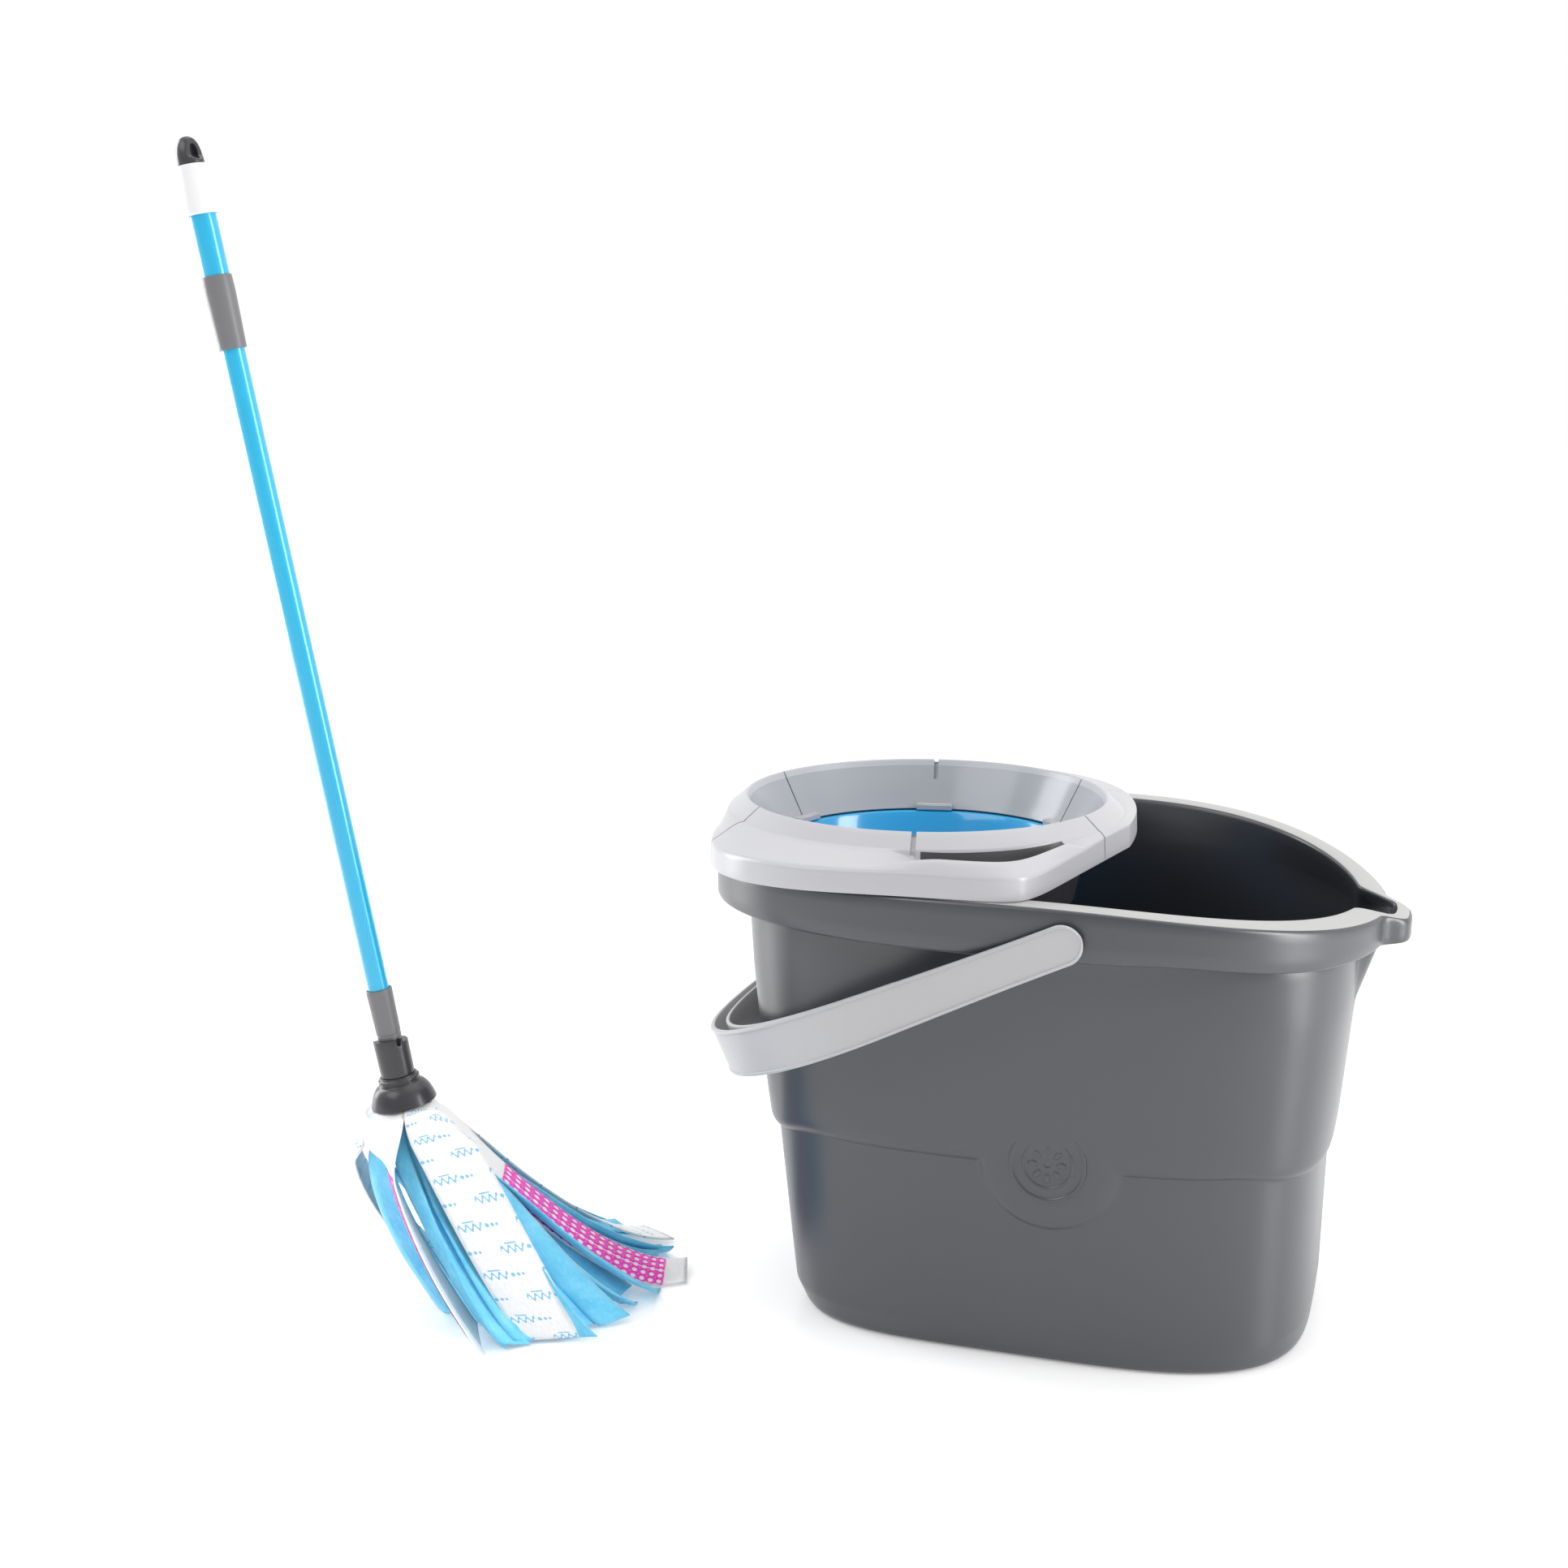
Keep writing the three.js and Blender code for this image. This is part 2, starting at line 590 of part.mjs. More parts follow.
// One strip hangs from inside the dome, bulges under it and sweeps to its tip on the floor.
function stripPath(degrees, layer) {
  const out = outward(degrees);
  const rootOut = out.clone().addScaledVector(HANDLE_AXIS, -out.dot(HANDLE_AXIS)).normalize();
  const start = DOME_AT.clone().addScaledVector(HANDLE_AXIS, -STRIP_START);
  start.addScaledVector(rootOut, layer.root);
  const tipOut = outward(sweptDegrees(degrees));
  const tip = new THREE.Vector3(
    TIP_CENTRE.x + TIP_REACH.x * layer.spread * tipOut.x,
    TIP_CENTRE.y + TIP_REACH.y * layer.spread * tipOut.y,
    STRIP_SHEET * 1.5,
  );
  const near = start.clone().addScaledVector(out, layer.bulge).addScaledVector(HANDLE_AXIS, -layer.drop);
  const far = start.clone().lerp(tip, 0.62).addScaledVector(tipOut, layer.belly);
  far.addScaledVector(UP, -layer.sag);
  return new THREE.CubicBezierCurve3(start, near, far, tip);
}

function clothStrip(degrees, width, layer) {
  const path = stripPath(degrees, layer);
  const swing = sweptDegrees(degrees) - degrees;
  const rings = [];
  const stations = 10;
  for (let i = 0; i <= stations; i += 1) {
    const share = i / stations;
    const centre = path.getPoint(share);
    const out = outward(degrees + swing * THREE.MathUtils.smoothstep(share, 0, 1));
    const across = new THREE.Vector3(-out.y, out.x, 0);
    const face = path.getTangent(share).cross(across).normalize();
    const open = THREE.MathUtils.smoothstep(share, 0, 0.4);
    const half = THREE.MathUtils.lerp(layer.rootWidth, width, open) / 2;
    const corners = [[half, 1], [half, -1], [-half, -1], [-half, 1]];
    rings.push(corners.map(([side, sheet]) => centre.clone()
      .addScaledVector(across, side)
      .addScaledVector(face, (sheet * STRIP_SHEET) / 2)));
  }
  return loft(rings);
}

const WHITE_LAYER = { root: 15.8, rootWidth: 14, bulge: 27, drop: 20, spread: 1, belly: 12, sag: 14 };
const BLUE_LAYER = { root: 12.1, rootWidth: 7, bulge: 22, drop: 24, spread: 0.87, belly: 8, sag: 14 };
const CORE_LAYER = { root: 8.6, rootWidth: 5.5, bulge: 15, drop: 28, spread: 0.62, belly: 2, sag: 14 };

const WHITE_STRIPS = [
  { name: 'strip_white_front', degrees: -31, width: 38 },
  { name: 'strip_mesh_right', degrees: 29, width: 27 },
  { name: 'strip_white_right_back', degrees: 89, width: 30 },
  { name: 'strip_mesh_back', degrees: 149, width: 27 },
  { name: 'strip_white_left_back', degrees: 209, width: 30 },
  { name: 'strip_mesh_left', degrees: 269, width: 27 },
];

// ---- assembly ----
const set = new THREE.Group();

addMesh(set, 'bucket_shell', bucketShell(), bucketGrey);
const bail = addMesh(set, 'bail_handle', bailHandle(), bailGrey);
bail.rotation.y = Math.PI - BAIL_DROOP;
bail.position.set(PIVOT.x, 0, PIVOT.z);

addMesh(set, 'wringer_ring', wringerRing(), ringGrey);
addMesh(set, 'basket_retainer', basketRetainer(), darkGrey);
addMesh(set, 'wringer_basket', wringerBasket(), basketBlue);

const mop = new THREE.Group();
mop.position.copy(DOME_AT);
mop.quaternion.setFromUnitVectors(UP, HANDLE_AXIS);
set.add(mop);
addMesh(mop, 'head_dome', headDome(), darkGrey);
addMesh(mop, 'head_socket', headSocket(), darkGrey);
addMesh(mop, 'clamp_plate', clampPlate(), darkGrey);
addMesh(mop, 'clamp_screw', clampScrew(), screwSteel);
addMesh(mop, 'handle_ferrule', handleFerrule(), sleeveGrey);
addMesh(mop, 'lower_tube', tube(LOWER_TUBE_RADIUS, 52.4, 505), tubeBlue);
addMesh(mop, 'tube_end_bush', tubeEndBush(), gripWhite);
addMesh(mop, 'lock_sleeve', lockSleeve(), sleeveGrey);
addMesh(mop, 'lock_collet', lockCollet(), gripWhite);
addMesh(mop, 'upper_tube', tube(UPPER_TUBE_RADIUS, 480, 574.3), tubeBlue);
addMesh(mop, 'hand_grip', handGrip(), gripWhite);
addMesh(mop, 'hang_cap', hangCap(), darkGrey);

for (const { name, degrees, width } of WHITE_STRIPS) {
  addMesh(set, name, clothStrip(degrees, width, WHITE_LAYER), clothWhite);
}
for (let k = 0; k < 8; k += 1) {
  addMesh(set, `strip_blue_${k + 1}`, clothStrip(-61 + 45 * k, 21, BLUE_LAYER), clothBlue);
}
for (let k = 0; k < 6; k += 1) {
  addMesh(set, `strip_core_${k + 1}`, clothStrip(-46 + 60 * k, 20, CORE_LAYER), clothBlue);
}

export default set;
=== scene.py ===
# Looks for the spin mop set: bucket, bail, wringer and strip mop. Metres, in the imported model's own frame.
import math
import random

import bmesh
import bpy
import numpy as np
from mathutils import Matrix, Vector


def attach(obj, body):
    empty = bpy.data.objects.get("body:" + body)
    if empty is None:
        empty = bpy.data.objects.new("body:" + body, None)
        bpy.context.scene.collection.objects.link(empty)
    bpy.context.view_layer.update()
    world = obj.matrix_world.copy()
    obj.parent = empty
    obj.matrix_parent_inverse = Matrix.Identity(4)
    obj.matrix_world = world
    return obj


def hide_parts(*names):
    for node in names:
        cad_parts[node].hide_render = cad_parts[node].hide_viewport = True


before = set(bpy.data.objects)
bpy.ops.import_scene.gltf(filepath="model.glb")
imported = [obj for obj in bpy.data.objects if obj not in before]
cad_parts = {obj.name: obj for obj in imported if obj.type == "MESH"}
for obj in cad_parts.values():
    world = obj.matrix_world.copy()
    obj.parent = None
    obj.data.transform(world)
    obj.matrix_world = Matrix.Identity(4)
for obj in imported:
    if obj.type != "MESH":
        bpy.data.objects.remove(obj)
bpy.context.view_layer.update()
random.seed(11)

# ---- driving dimensions, bucket ----
WALL = 0.003
RIM_MIDDLE_Z = 0.2908
RIM_LEFT_DROP = 0.008
RIM_RIGHT_DROP = 0.028
RIM_REACH = 0.208
RIM_FALL_POWER = 2.2
# reach left and right, half width, squareness left and right, and how square the right side's flanks are
RIM_OUTLINE = (0.217, 0.202, 0.168, 2.6, 3.0, 1.75)
BAND_BOTTOM_Z = 0.260
BAND_RIGHT_DROP = 0.013
BAND_DROP_X = (0.080, 0.200)
STEP_Z = 0.1255
STEP_RIGHT_DROP = 0.010
STEP_LEFT_DROP = 0.013
STEP_DROP_X = (0.125, 0.178)
STEP_ROUNDING = 0.012
SPOUT_REACH = 0.013
SPOUT_HALF_WIDTH = 0.0225
SPOUT_SQUARENESS = 6
GUSSET_BOTTOM_Z = 0.208
GUSSET_HEIGHT = 0.044
CHANNEL_REACH = 0.022
BADGE_X = 0.022
BADGE_Z = 0.130
BADGE_CLEARING = 0.043
BADGE_DROPS = 8
BUCKET_POINTS = 600
EVENING_POINTS = 60001

# ---- driving dimensions, bail ----
PIVOT = Vector((0.0323, 0, 0.2714))
BAIL_HALF_SPAN = 0.1745
BAIL_DROOP = math.radians(25.3)
BAIL_REACH = 0.272
BAIL_SHOULDER = 0.110
BAIL_STRAP = 0.0035
BAIL_LIP = 0.0007
BAIL_GRIP_DEPTH = 0.016
BAIL_GRIP_START = 0.100
BAIL_WEB_HALF = 0.0014
BAIL_EYE = 0.012
BAIL_END = -0.01198
BAIL_WIDENING = 0.0034
BAIL_WIDE_AT = 0.190
BAIL_SQUARENESS = 2.4
BAIL_SAMPLES = 150

# ---- driving dimensions, wringer ----
RING_X = -0.090
LIP_Z = 0.317
LIP_RADIUS = 0.115
SHOULDER_RADIUS = 0.127
SHOULDER_Z = 0.3085
THROAT_RADIUS = 0.098
THROAT_Z = 0.2852
SKIN = 0.0026
SKIRT_X = -0.078
SKIRT_HALF = 0.1655
SKIRT_LEFT = 0.139
SKIRT_RIGHT = 0.120
DECK_EDGE_Z = 0.3055
DECK_EDGE_RISE = 0.015
DECK_ROUNDING = 0.0022
LUG_SLANT = math.radians(11.2)
LUG_DECK = 0.060
LUG_X = (-0.088, -0.040)
LUG_Y = (0.070, 0.100)
LUG_SQUARENESS = 14
CREST_EDGE_Z = 0.3062
CREST_Z = 0.3118
POCKET_Z = 0.2965
POCKET_RADIUS = 0.150
# the lug share above which the hand slot's faces get the painted shade
POCKET_SHADE_SHARE = 0.72
INNER_WALL_RINGS = 8
RING_POINTS = 420
GROOVE_TURN = math.radians(100.8)
GROOVES = [GROOVE_TURN + k * math.pi / 3 for k in range(6)]
WIDE_GROOVE = (0.0015, 0.0022)
NARROW_GROOVE = (0.0007, 0.0018)
# how far in from the skirt's edge the deck's rings lie, close together at the pocket's two ends
DECK_DEPTHS = [0.060, 0.0592, 0.0584, 0.0575, 0.0565, 0.053, 0.050, 0.045, 0.038, 0.030, 0.024, 0.019,
               0.0165, 0.0155, 0.0145, 0.0135, 0.0128, 0.0122, 0.0116, 0.0105, 0.008, 0.005, 0.003, 0.0016,
               0.0007, 0.0]
BASKET_FLOOR_Z = 0.186
BASKET_FLOOR_RADIUS = 0.060
BASKET_TOP_Z = 0.2845
BASKET_WALL_TOP = 0.0926
BASKET_COLUMNS = 144

# ---- driving dimensions, mop ----
DOME_AT = Vector((-0.3736, -0.1857, 0.1347))
HANDLE_AXIS = Vector((-0.1685, -0.0553, 0.9842)).normalized()
TIP_CENTRE = (-0.300, -0.120)
TIP_REACH = (0.073, 0.100)
TIP_Z = 0.0026
FLOOR_GAP = 0.0009
SOCKET_STEP_TURN = math.radians(-75)
SOCKET_STEP = 0.0026
SOCKET_SLOT = 0.0042
CAP_SEAT_Z = 0.5746
EYE_TURN = math.radians(78)
UP = Vector((0, 0, 1))

# ---- driving dimensions, cloth ----
SHEET_THICKNESS = 0.0011
WHITE_ROWS = 72
WHITE_COLUMNS = 12
SLIT_OPENING = 0.16
BLUE_ROWS = 56
BLUE_COLUMNS = 6
BLUE_WIDTH = 0.021
CORE_WIDTH = 0.020
FAR_KNOT = 0.62
TIP_SWAY = 0.4
PUFF_RISE = (0.055, 0.085)
PUFF_END = 0.24
CURL_START = (0.1, 0.5)
CURL_END = (0.8, 1.0)
CURL_LOSS = 0.6
PRINT_ROW = 0.0145
PRINT_REPEAT = 0.036
RIPPLE_X = (0.002, 0.0170)
RIPPLE_Y = 0.0078
RIPPLE_LENGTH = 0.0044
RIPPLE_HEIGHT = 0.0016
RIPPLE_HALF = 0.0009
DASH_X = (0.006, 0.013)
DASH_Y = 0.0045
DASH_HALF = 0.0004
# each printed drop's place along the row and its radius
PRINT_DROPS = ((0.0195, 0.0012), (0.0228, 0.0010), (0.0256, 0.0008))
LATTICE_CELL = 0.0075
LATTICE_ROWS = 5
LATTICE_RAISE = 0.0009
LATTICE_SPAN = (0.30, 0.90)
LATTICE_HALF = 0.93
LATTICE_WAVE = 0.03
LATTICE_SIDES = 20
# a gap's rings from the bars' middle line to the cloth: size, stretch across the strip and height
LATTICE_GAP = ((1.0, 1.0, 1.0), (0.80, 1.12, 1.0), (0.60, 1.12, 0.9), (0.53, 1.12, 0.0))

# ---- camera and studio ----
CAMERA_AT = (0.2372, -1.2947, 0.5923)
CAMERA_TILT = math.radians(78.55)
CAMERA_TURN = math.radians(18.13)
LENS = 48.33
FLOOR_REACH = 14.0
FLOOR_DROP = 0.0004
# each light's name, place, size, power and the point it faces
LIGHTS = (
    ("key", (-1.3, -1.5, 1.9), (1.6, 1.2), 15, (0, 0, 0.15)),
    ("top", (0.1, 0.4, 2.2), (2.2, 1.6), 9, (0, 0, 0.1)),
    ("right", (1.8, -0.1, 0.7), (0.6, 1.4), 22, (0.1, 0, 0.15)),
    ("left", (-1.8, 0.2, 0.7), (0.6, 1.4), 14, (-0.1, 0, 0.15)),
)


# ---- numbers ----
def smooth(value, low, high):
    t = np.clip((value - low) / (high - low), 0, 1)
    return t * t * (3 - 2 * t)


def mix(a, b, share):
    return a + (b - a) * share


# ---- node materials ----
class Field:
    """One number of a shader tree, so that a pattern can be written as a formula."""

    def __init__(self, tree, socket):
        self.tree = tree
        self.socket = socket

    def run(self, operation, *others):
        node = self.tree.nodes.new("ShaderNodeMath")
        node.operation = operation
        for slot, value in zip(node.inputs, (self, *others)):
            if isinstance(value, Field):
                self.tree.links.new(value.socket, slot)
            else:
                slot.default_value = value
        return Field(self.tree, node.outputs[0])

    def __add__(self, other):
        return self.run("ADD", other)

    def __sub__(self, other):
        return self.run("SUBTRACT", other)

    def __mul__(self, other):
        return self.run("MULTIPLY", other)

    def __lt__(self, other):
        return self.run("LESS_THAN", other)

    def __gt__(self, other):
        return self.run("GREATER_THAN", other)

    def larger(self, other):
        return self.run("MAXIMUM", other)


class Finish:
    """A Principled material with helpers for noise, colour mixing and bump."""

    def __init__(self, name, slot=None, **sockets):
        self.material = bpy.data.materials.new(name)
        self.slot = slot
        self.material.use_nodes = True
        self.tree = self.material.node_tree
        self.shader = self.tree.nodes["Principled BSDF"]
        for socket, value in sockets.items():
            self.shader.inputs[socket.replace("_", " ")].default_value = value
        self.place = self.node("ShaderNodeTexCoord").outputs["Object"]

    def node(self, kind, **values):
        made = self.tree.nodes.new(kind)
        for name, value in values.items():
            setattr(made, name, value)
        return made

    def link(self, source, target):
        self.tree.links.new(source, target)

    def noise(self, scale, detail=3.0, stretch=(1, 1, 1), place=None):
        mapping = self.node("ShaderNodeMapping")
        mapping.inputs["Scale"].default_value = stretch
        self.link(place or self.place, mapping.inputs["Vector"])
        texture = self.node("ShaderNodeTexNoise")
        texture.inputs["Scale"].default_value = scale
        texture.inputs["Detail"].default_value = detail
        self.link(mapping.outputs[0], texture.inputs["Vector"])
        return texture.outputs["Fac"]

    def spread(self, source, low, high, start=0.3, end=0.7):
        ranged = self.node("ShaderNodeMapRange")
        for name, value in (("From Min", start), ("From Max", end), ("To Min", low), ("To Max", high)):
            ranged.inputs[name].default_value = value
        self.link(source, ranged.inputs["Value"])
        return ranged.outputs[0]

    def blend(self, share, first, second):
        mixer = self.node("ShaderNodeMix", data_type="RGBA")
        self.link(share, mixer.inputs["Factor"])
        for name, colour in (("A", first), ("B", second)):
            socket = [s for s in mixer.inputs if s.name == name and s.type == "RGBA"][0]
            if isinstance(colour, tuple):
                socket.default_value = (*colour, 1)
            else:
                self.link(colour, socket)
        return [s for s in mixer.outputs if s.type == "RGBA"][0]

    def colour(self, source):
        self.link(source, self.shader.inputs["Base Color"])

    def roughness(self, source):
        self.link(source, self.shader.inputs["Roughness"])

    def bump(self, source, depth, after=None):
        bumped = self.node("ShaderNodeBump")
        bumped.inputs["Distance"].default_value = depth
        self.link(source, bumped.inputs["Height"])
        if after:
            self.link(after, bumped.inputs["Normal"])
        self.link(bumped.outputs[0], self.shader.inputs["Normal"])
        return bumped.outputs[0]


def moulded_plastic(name, slot, colour, rough, grain=0.000006, wear=0.12, **sockets):
    """Satin moulding: fine spark-eroded grain, faint flow marks, and edges rubbed a little lighter."""
    finish = Finish(name, slot, **sockets)
    deep = tuple(c * 0.94 for c in colour)
    light = tuple(min(1, c * 1.04 + 0.001) for c in colour)
    rubbed = tuple(min(1, mix(c, 0.75, 0.16)) for c in colour)
    flow = finish.noise(7, 1, (1, 1, 0.35))
    body = finish.blend(finish.spread(flow, 0, 1, 0.2, 0.8), deep, light)
    pointed = finish.node("ShaderNodeNewGeometry").outputs["Pointiness"]
    edges = Field(finish.tree, finish.spread(pointed, 0, wear, 0.60, 0.72))
    scuffs = Field(finish.tree, finish.spread(finish.noise(160, 5), 0, 1, 0.45, 0.6))
    finish.colour(finish.blend((edges * scuffs).socket, body, rubbed))
    finish.roughness(finish.spread(finish.noise(40, 1), rough - 0.01, rough + 0.015, 0.1, 0.9))
    fine = finish.bump(finish.noise(900, 1), grain)
    finish.bump(finish.noise(14, 1), grain * 6, fine)
    return finish


def lacquered_tube():
    """Gloss lacquer over a drawn steel tube, with a little orange peel and fine rubbed scratches."""
    finish = Finish("tube_lacquer", "tube_paint", Coat_Weight=0.8, Coat_Roughness=0.06, Metallic=0.1)
    tone = finish.spread(finish.noise(14, 3, (1, 1, 0.2)), 0, 1)
    finish.colour(finish.blend(tone, (0.006, 0.40, 0.66), (0.012, 0.45, 0.73)))
    finish.roughness(finish.spread(finish.noise(220, 4, (1, 1, 0.06)), 0.24, 0.36))
    finish.bump(finish.noise(420, 2, (1, 1, 0.5)), 0.00003)
    return finish


def plated_steel():
    finish = Finish("screw_steel", "screw_steel", Metallic=1.0)
    tone = finish.spread(finish.noise(300, 3), 0, 1)
    finish.colour(finish.blend(tone, (0.5, 0.51, 0.52), (0.66, 0.67, 0.68)))
    finish.roughness(finish.spread(finish.noise(700, 3), 0.25, 0.4))
    return finish


def cloth_surface(finish):
    """Needled non-woven cloth: short matted fibres, small pits and soft cloudy thickness."""
    flat = finish.node("ShaderNodeUVMap", uv_map="cut").outputs[0]
    fibres = finish.noise(900, 6, (1, 0.28, 1), flat)
    matted = finish.bump(fibres, 0.00022)
    pits = finish.node("ShaderNodeTexVoronoi")
    pits.inputs["Scale"].default_value = 640
    finish.link(flat, pits.inputs["Vector"])
    pitted = finish.bump(pits.outputs["Distance"], 0.00012, matted)
    finish.bump(finish.noise(70, 3, (1, 1, 1), flat), 0.0005, pitted)
    finish.roughness(finish.spread(fibres, 0.82, 0.98))
    return flat, fibres


def plain_cloth(name, slot, deep, light):
    finish = Finish(name, slot, Sheen_Weight=0.35, Sheen_Roughness=0.45)
    flat, fibres = cloth_surface(finish)
    cloudy = finish.blend(finish.spread(finish.noise(55, 4, (1, 1, 1), flat), 0, 1), deep, light)
    pale = tuple(mix(c, 1, 0.25) for c in light)
    finish.colour(finish.blend(finish.spread(fibres, 0, 0.45, 0.5, 0.75), cloudy, pale))
    return finish


def printed_cloth():
    """White cloth with a repeating print of a ripple, three drops and a short dash."""
    finish = Finish("printed_white_cloth", "white_cloth", Sheen_Weight=0.3, Sheen_Roughness=0.5)
    flat, fibres = cloth_surface(finish)
    split = finish.node("ShaderNodeSeparateXYZ")
    finish.link(flat, split.inputs[0])
    across = Field(finish.tree, split.outputs[0])
    along = Field(finish.tree, split.outputs[1])
    row = (along * (1 / PRINT_ROW)).run("FLOOR")
    stagger = row.run("MODULO", 2.0) * (PRINT_REPEAT / 2)
    x = ((across + stagger) * (1 / PRINT_REPEAT)).run("FRACT") * PRINT_REPEAT
    y = (along * (1 / PRINT_ROW)).run("FRACT") * PRINT_ROW
    wave = (x * (2 * math.pi / RIPPLE_LENGTH)).run("SINE") * RIPPLE_HEIGHT
    ripple = ((y - RIPPLE_Y - wave).run("ABSOLUTE") < RIPPLE_HALF) * (x < RIPPLE_X[1]) * (x > RIPPLE_X[0])
    dash = ((y - DASH_Y).run("ABSOLUTE") < DASH_HALF) * (x < DASH_X[1]) * (x > DASH_X[0])
    marks = ripple.larger(dash)
    for place, radius in PRINT_DROPS:
        near = (x - place).run("POWER", 2.0) + (y - RIPPLE_Y).run("POWER", 2.0)
        marks = marks.larger(near < radius ** 2)
    worn = Field(finish.tree, finish.spread(finish.noise(1500, 3, (1, 1, 1), flat), 0.6, 1.0, 0.35, 0.6))
    white = finish.blend(finish.spread(fibres, 0, 1), (0.80, 0.80, 0.81), (0.90, 0.90, 0.905))
    finish.colour(finish.blend((marks * worn).socket, white, (0.10, 0.48, 0.78)))
    return finish


def scrubbing_print():
    finish = Finish("pink_scrubbing_print", Coat_Weight=0.15, Coat_Roughness=0.3)
    tone = finish.spread(finish.noise(400, 4), 0, 1)
    finish.colour(finish.blend(tone, (0.88, 0.030, 0.50), (0.97, 0.050, 0.60)))
    finish.roughness(finish.spread(finish.noise(900, 3), 0.4, 0.6))
    finish.bump(finish.noise(1300, 4), 0.0002)
    return finish


bucket_plastic = moulded_plastic(
    "bucket_plastic", "bucket_plastic", (0.043, 0.045, 0.054), 0.30, Specular_IOR_Level=0.85)
# lighter grey for the rim's top face: a painted reflection of the overhead light on the glossy rim
rim_top_painted_highlight = moulded_plastic("rim_top_painted_highlight", "bucket_plastic", (0.42, 0.42, 0.41), 0.34)
# darker grey for the funnel's inner wall: painted shade, since the inside of the funnel gets less light
ring_inside_painted_shade = moulded_plastic("ring_inside_painted_shade", "ring_plastic", (0.37, 0.375, 0.395), 0.17, 0.000002, 0.0)
ring_plastic = moulded_plastic("ring_plastic", "ring_plastic", (0.475, 0.475, 0.495), 0.26, 0.000002, 0.0)
# near-black for the hand slot under the lug: painted shade where the slot's inside lies in shadow
slot_painted_shade = moulded_plastic("slot_painted_shade", "ring_plastic", (0.06, 0.06, 0.065), 0.45)
bail_plastic = moulded_plastic("bail_plastic", "bail_plastic", (0.46, 0.46, 0.475), 0.34, 0.000004, 0.0)
basket_plastic = moulded_plastic(
    "basket_plastic", "basket_plastic", (0.003, 0.36, 0.70), 0.16, 0.000002,
    Coat_Weight=0.5, Coat_Roughness=0.05)
sleeve_plastic = moulded_plastic("sleeve_plastic", "sleeve_plastic", (0.170, 0.170, 0.180), 0.38)
dark_plastic = moulded_plastic("dark_plastic", "dark_plastic", (0.040, 0.039, 0.045), 0.27)
white_plastic = moulded_plastic("white_plastic", "white_plastic", (0.78, 0.78, 0.79), 0.42)
tube_lacquer = lacquered_tube()
screw_steel = plated_steel()
white_cloth = printed_cloth()
plain_white_cloth = plain_cloth("plain_white_cloth", "white_cloth", (0.80, 0.80, 0.81), (0.90, 0.90, 0.905))
blue_cloth = plain_cloth("blue_cloth", "blue_cloth", (0.10, 0.55, 0.84), (0.22, 0.69, 0.94))
pink_print = scrubbing_print()


# ---- meshes ----
def add_object(name, data):
    made = bpy.data.objects.new(name, data)
    bpy.context.scene.collection.objects.link(made)
    return made


def add_piece(name, points, faces, finish, body, replaced=(), sharp=35, cut_map=None):
    """A mesh piece riding on a body; cut_map holds each point's place on the flat cloth."""
    mesh = bpy.data.meshes.new(name)
    mesh.from_pydata([tuple(map(float, p)) for p in points], [], [tuple(f) for f in faces])
    if cut_map is not None:
        layer = mesh.uv_layers.new(name="cut")
        for loop in mesh.loops:
            layer.data[loop.index].uv = cut_map[loop.vertex_index]
    work = bmesh.new()
    work.from_mesh(mesh)
    bmesh.ops.recalc_face_normals(work, faces=work.faces)
    work.to_mesh(mesh)
    work.free()
    mesh.polygons.foreach_set("use_smooth", [True] * len(mesh.polygons))
    mesh.set_sharp_from_angle(angle=math.radians(sharp))
    mesh.materials.append(finish.material)
    piece = add_object(name, mesh)
    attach(piece, body)
    if replaced:
        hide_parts(*replaced)
    return piece


def apply_modifier(piece, kind, **values):
    modifier = piece.modifiers.new("shape", kind)
    for name, value in values.items():
        setattr(modifier, name, value)
    bpy.context.view_layer.update()
    evaluated = piece.evaluated_get(bpy.context.evaluated_depsgraph_get())
    made = bpy.data.meshes.new_from_object(evaluated)
    piece.modifiers.remove(modifier)
    piece.data = made


def round_edges(piece, width, degrees):
    """Rounds the edges that turn by more than so many degrees."""
    limit = math.radians(degrees)
    apply_modifier(piece, "BEVEL", width=width, segments=2, limit_method="ANGLE", angle_limit=limit)


def skin(rings, looped=False, capped=False):
    """Points and faces over rings that all have the same number of points."""
    rings = np.asarray(rings, float)
    levels, around = rings.shape[:2]
    points = rings.reshape(-1, 3)
    faces = []
    for i in range(levels if looped else levels - 1):
        here = i * around
        above = ((i + 1) % levels) * around
        for j in range(around):
            k = (j + 1) % around
            faces.append((here + j, here + k, above + k, above + j))
    if capped:
        for end in (0, levels - 1):
            centre = len(points)
            points = np.vstack([points, rings[end].mean(axis=0)])
            start = end * around
            faces += [(centre, start + j, start + (j + 1) % around) for j in range(around)]
    return points, faces


def joined(*parts):
    """Several (points, faces) pairs as one."""
    points = []
    faces = []
    for more, links in parts:
        base = len(points)
        points.extend(map(tuple, more))
        faces.extend(tuple(base + i for i in face) for face in links)
    return points, faces


def mm(*corners):
    """Profile corners given in millimetres."""
    return [tuple(v / 1000 for v in corner) for corner in corners]


def fillet(corners, steps=4):
    """A closed or open profile from (radius, height, rounding) corners, each rounded by a short curve."""
    out = []
    count = len(corners)
    for i, (r, z, rounding) in enumerate(corners):
        corner = np.array((r, z))
        if rounding == 0:
            out.append(corner)
            continue
        arms = []
        for other in (corners[i - 1], corners[(i + 1) % count]):
            arm = np.array(other[:2]) - corner
            length = np.linalg.norm(arm)
            arms.append(corner + arm / length * min(rounding, length * 0.48))
        for step in range(steps + 1):
            t = step / steps
            out.append((1 - t) ** 2 * arms[0] + 2 * t * (1 - t) * corner + t * t * arms[1])
    return np.array(out)


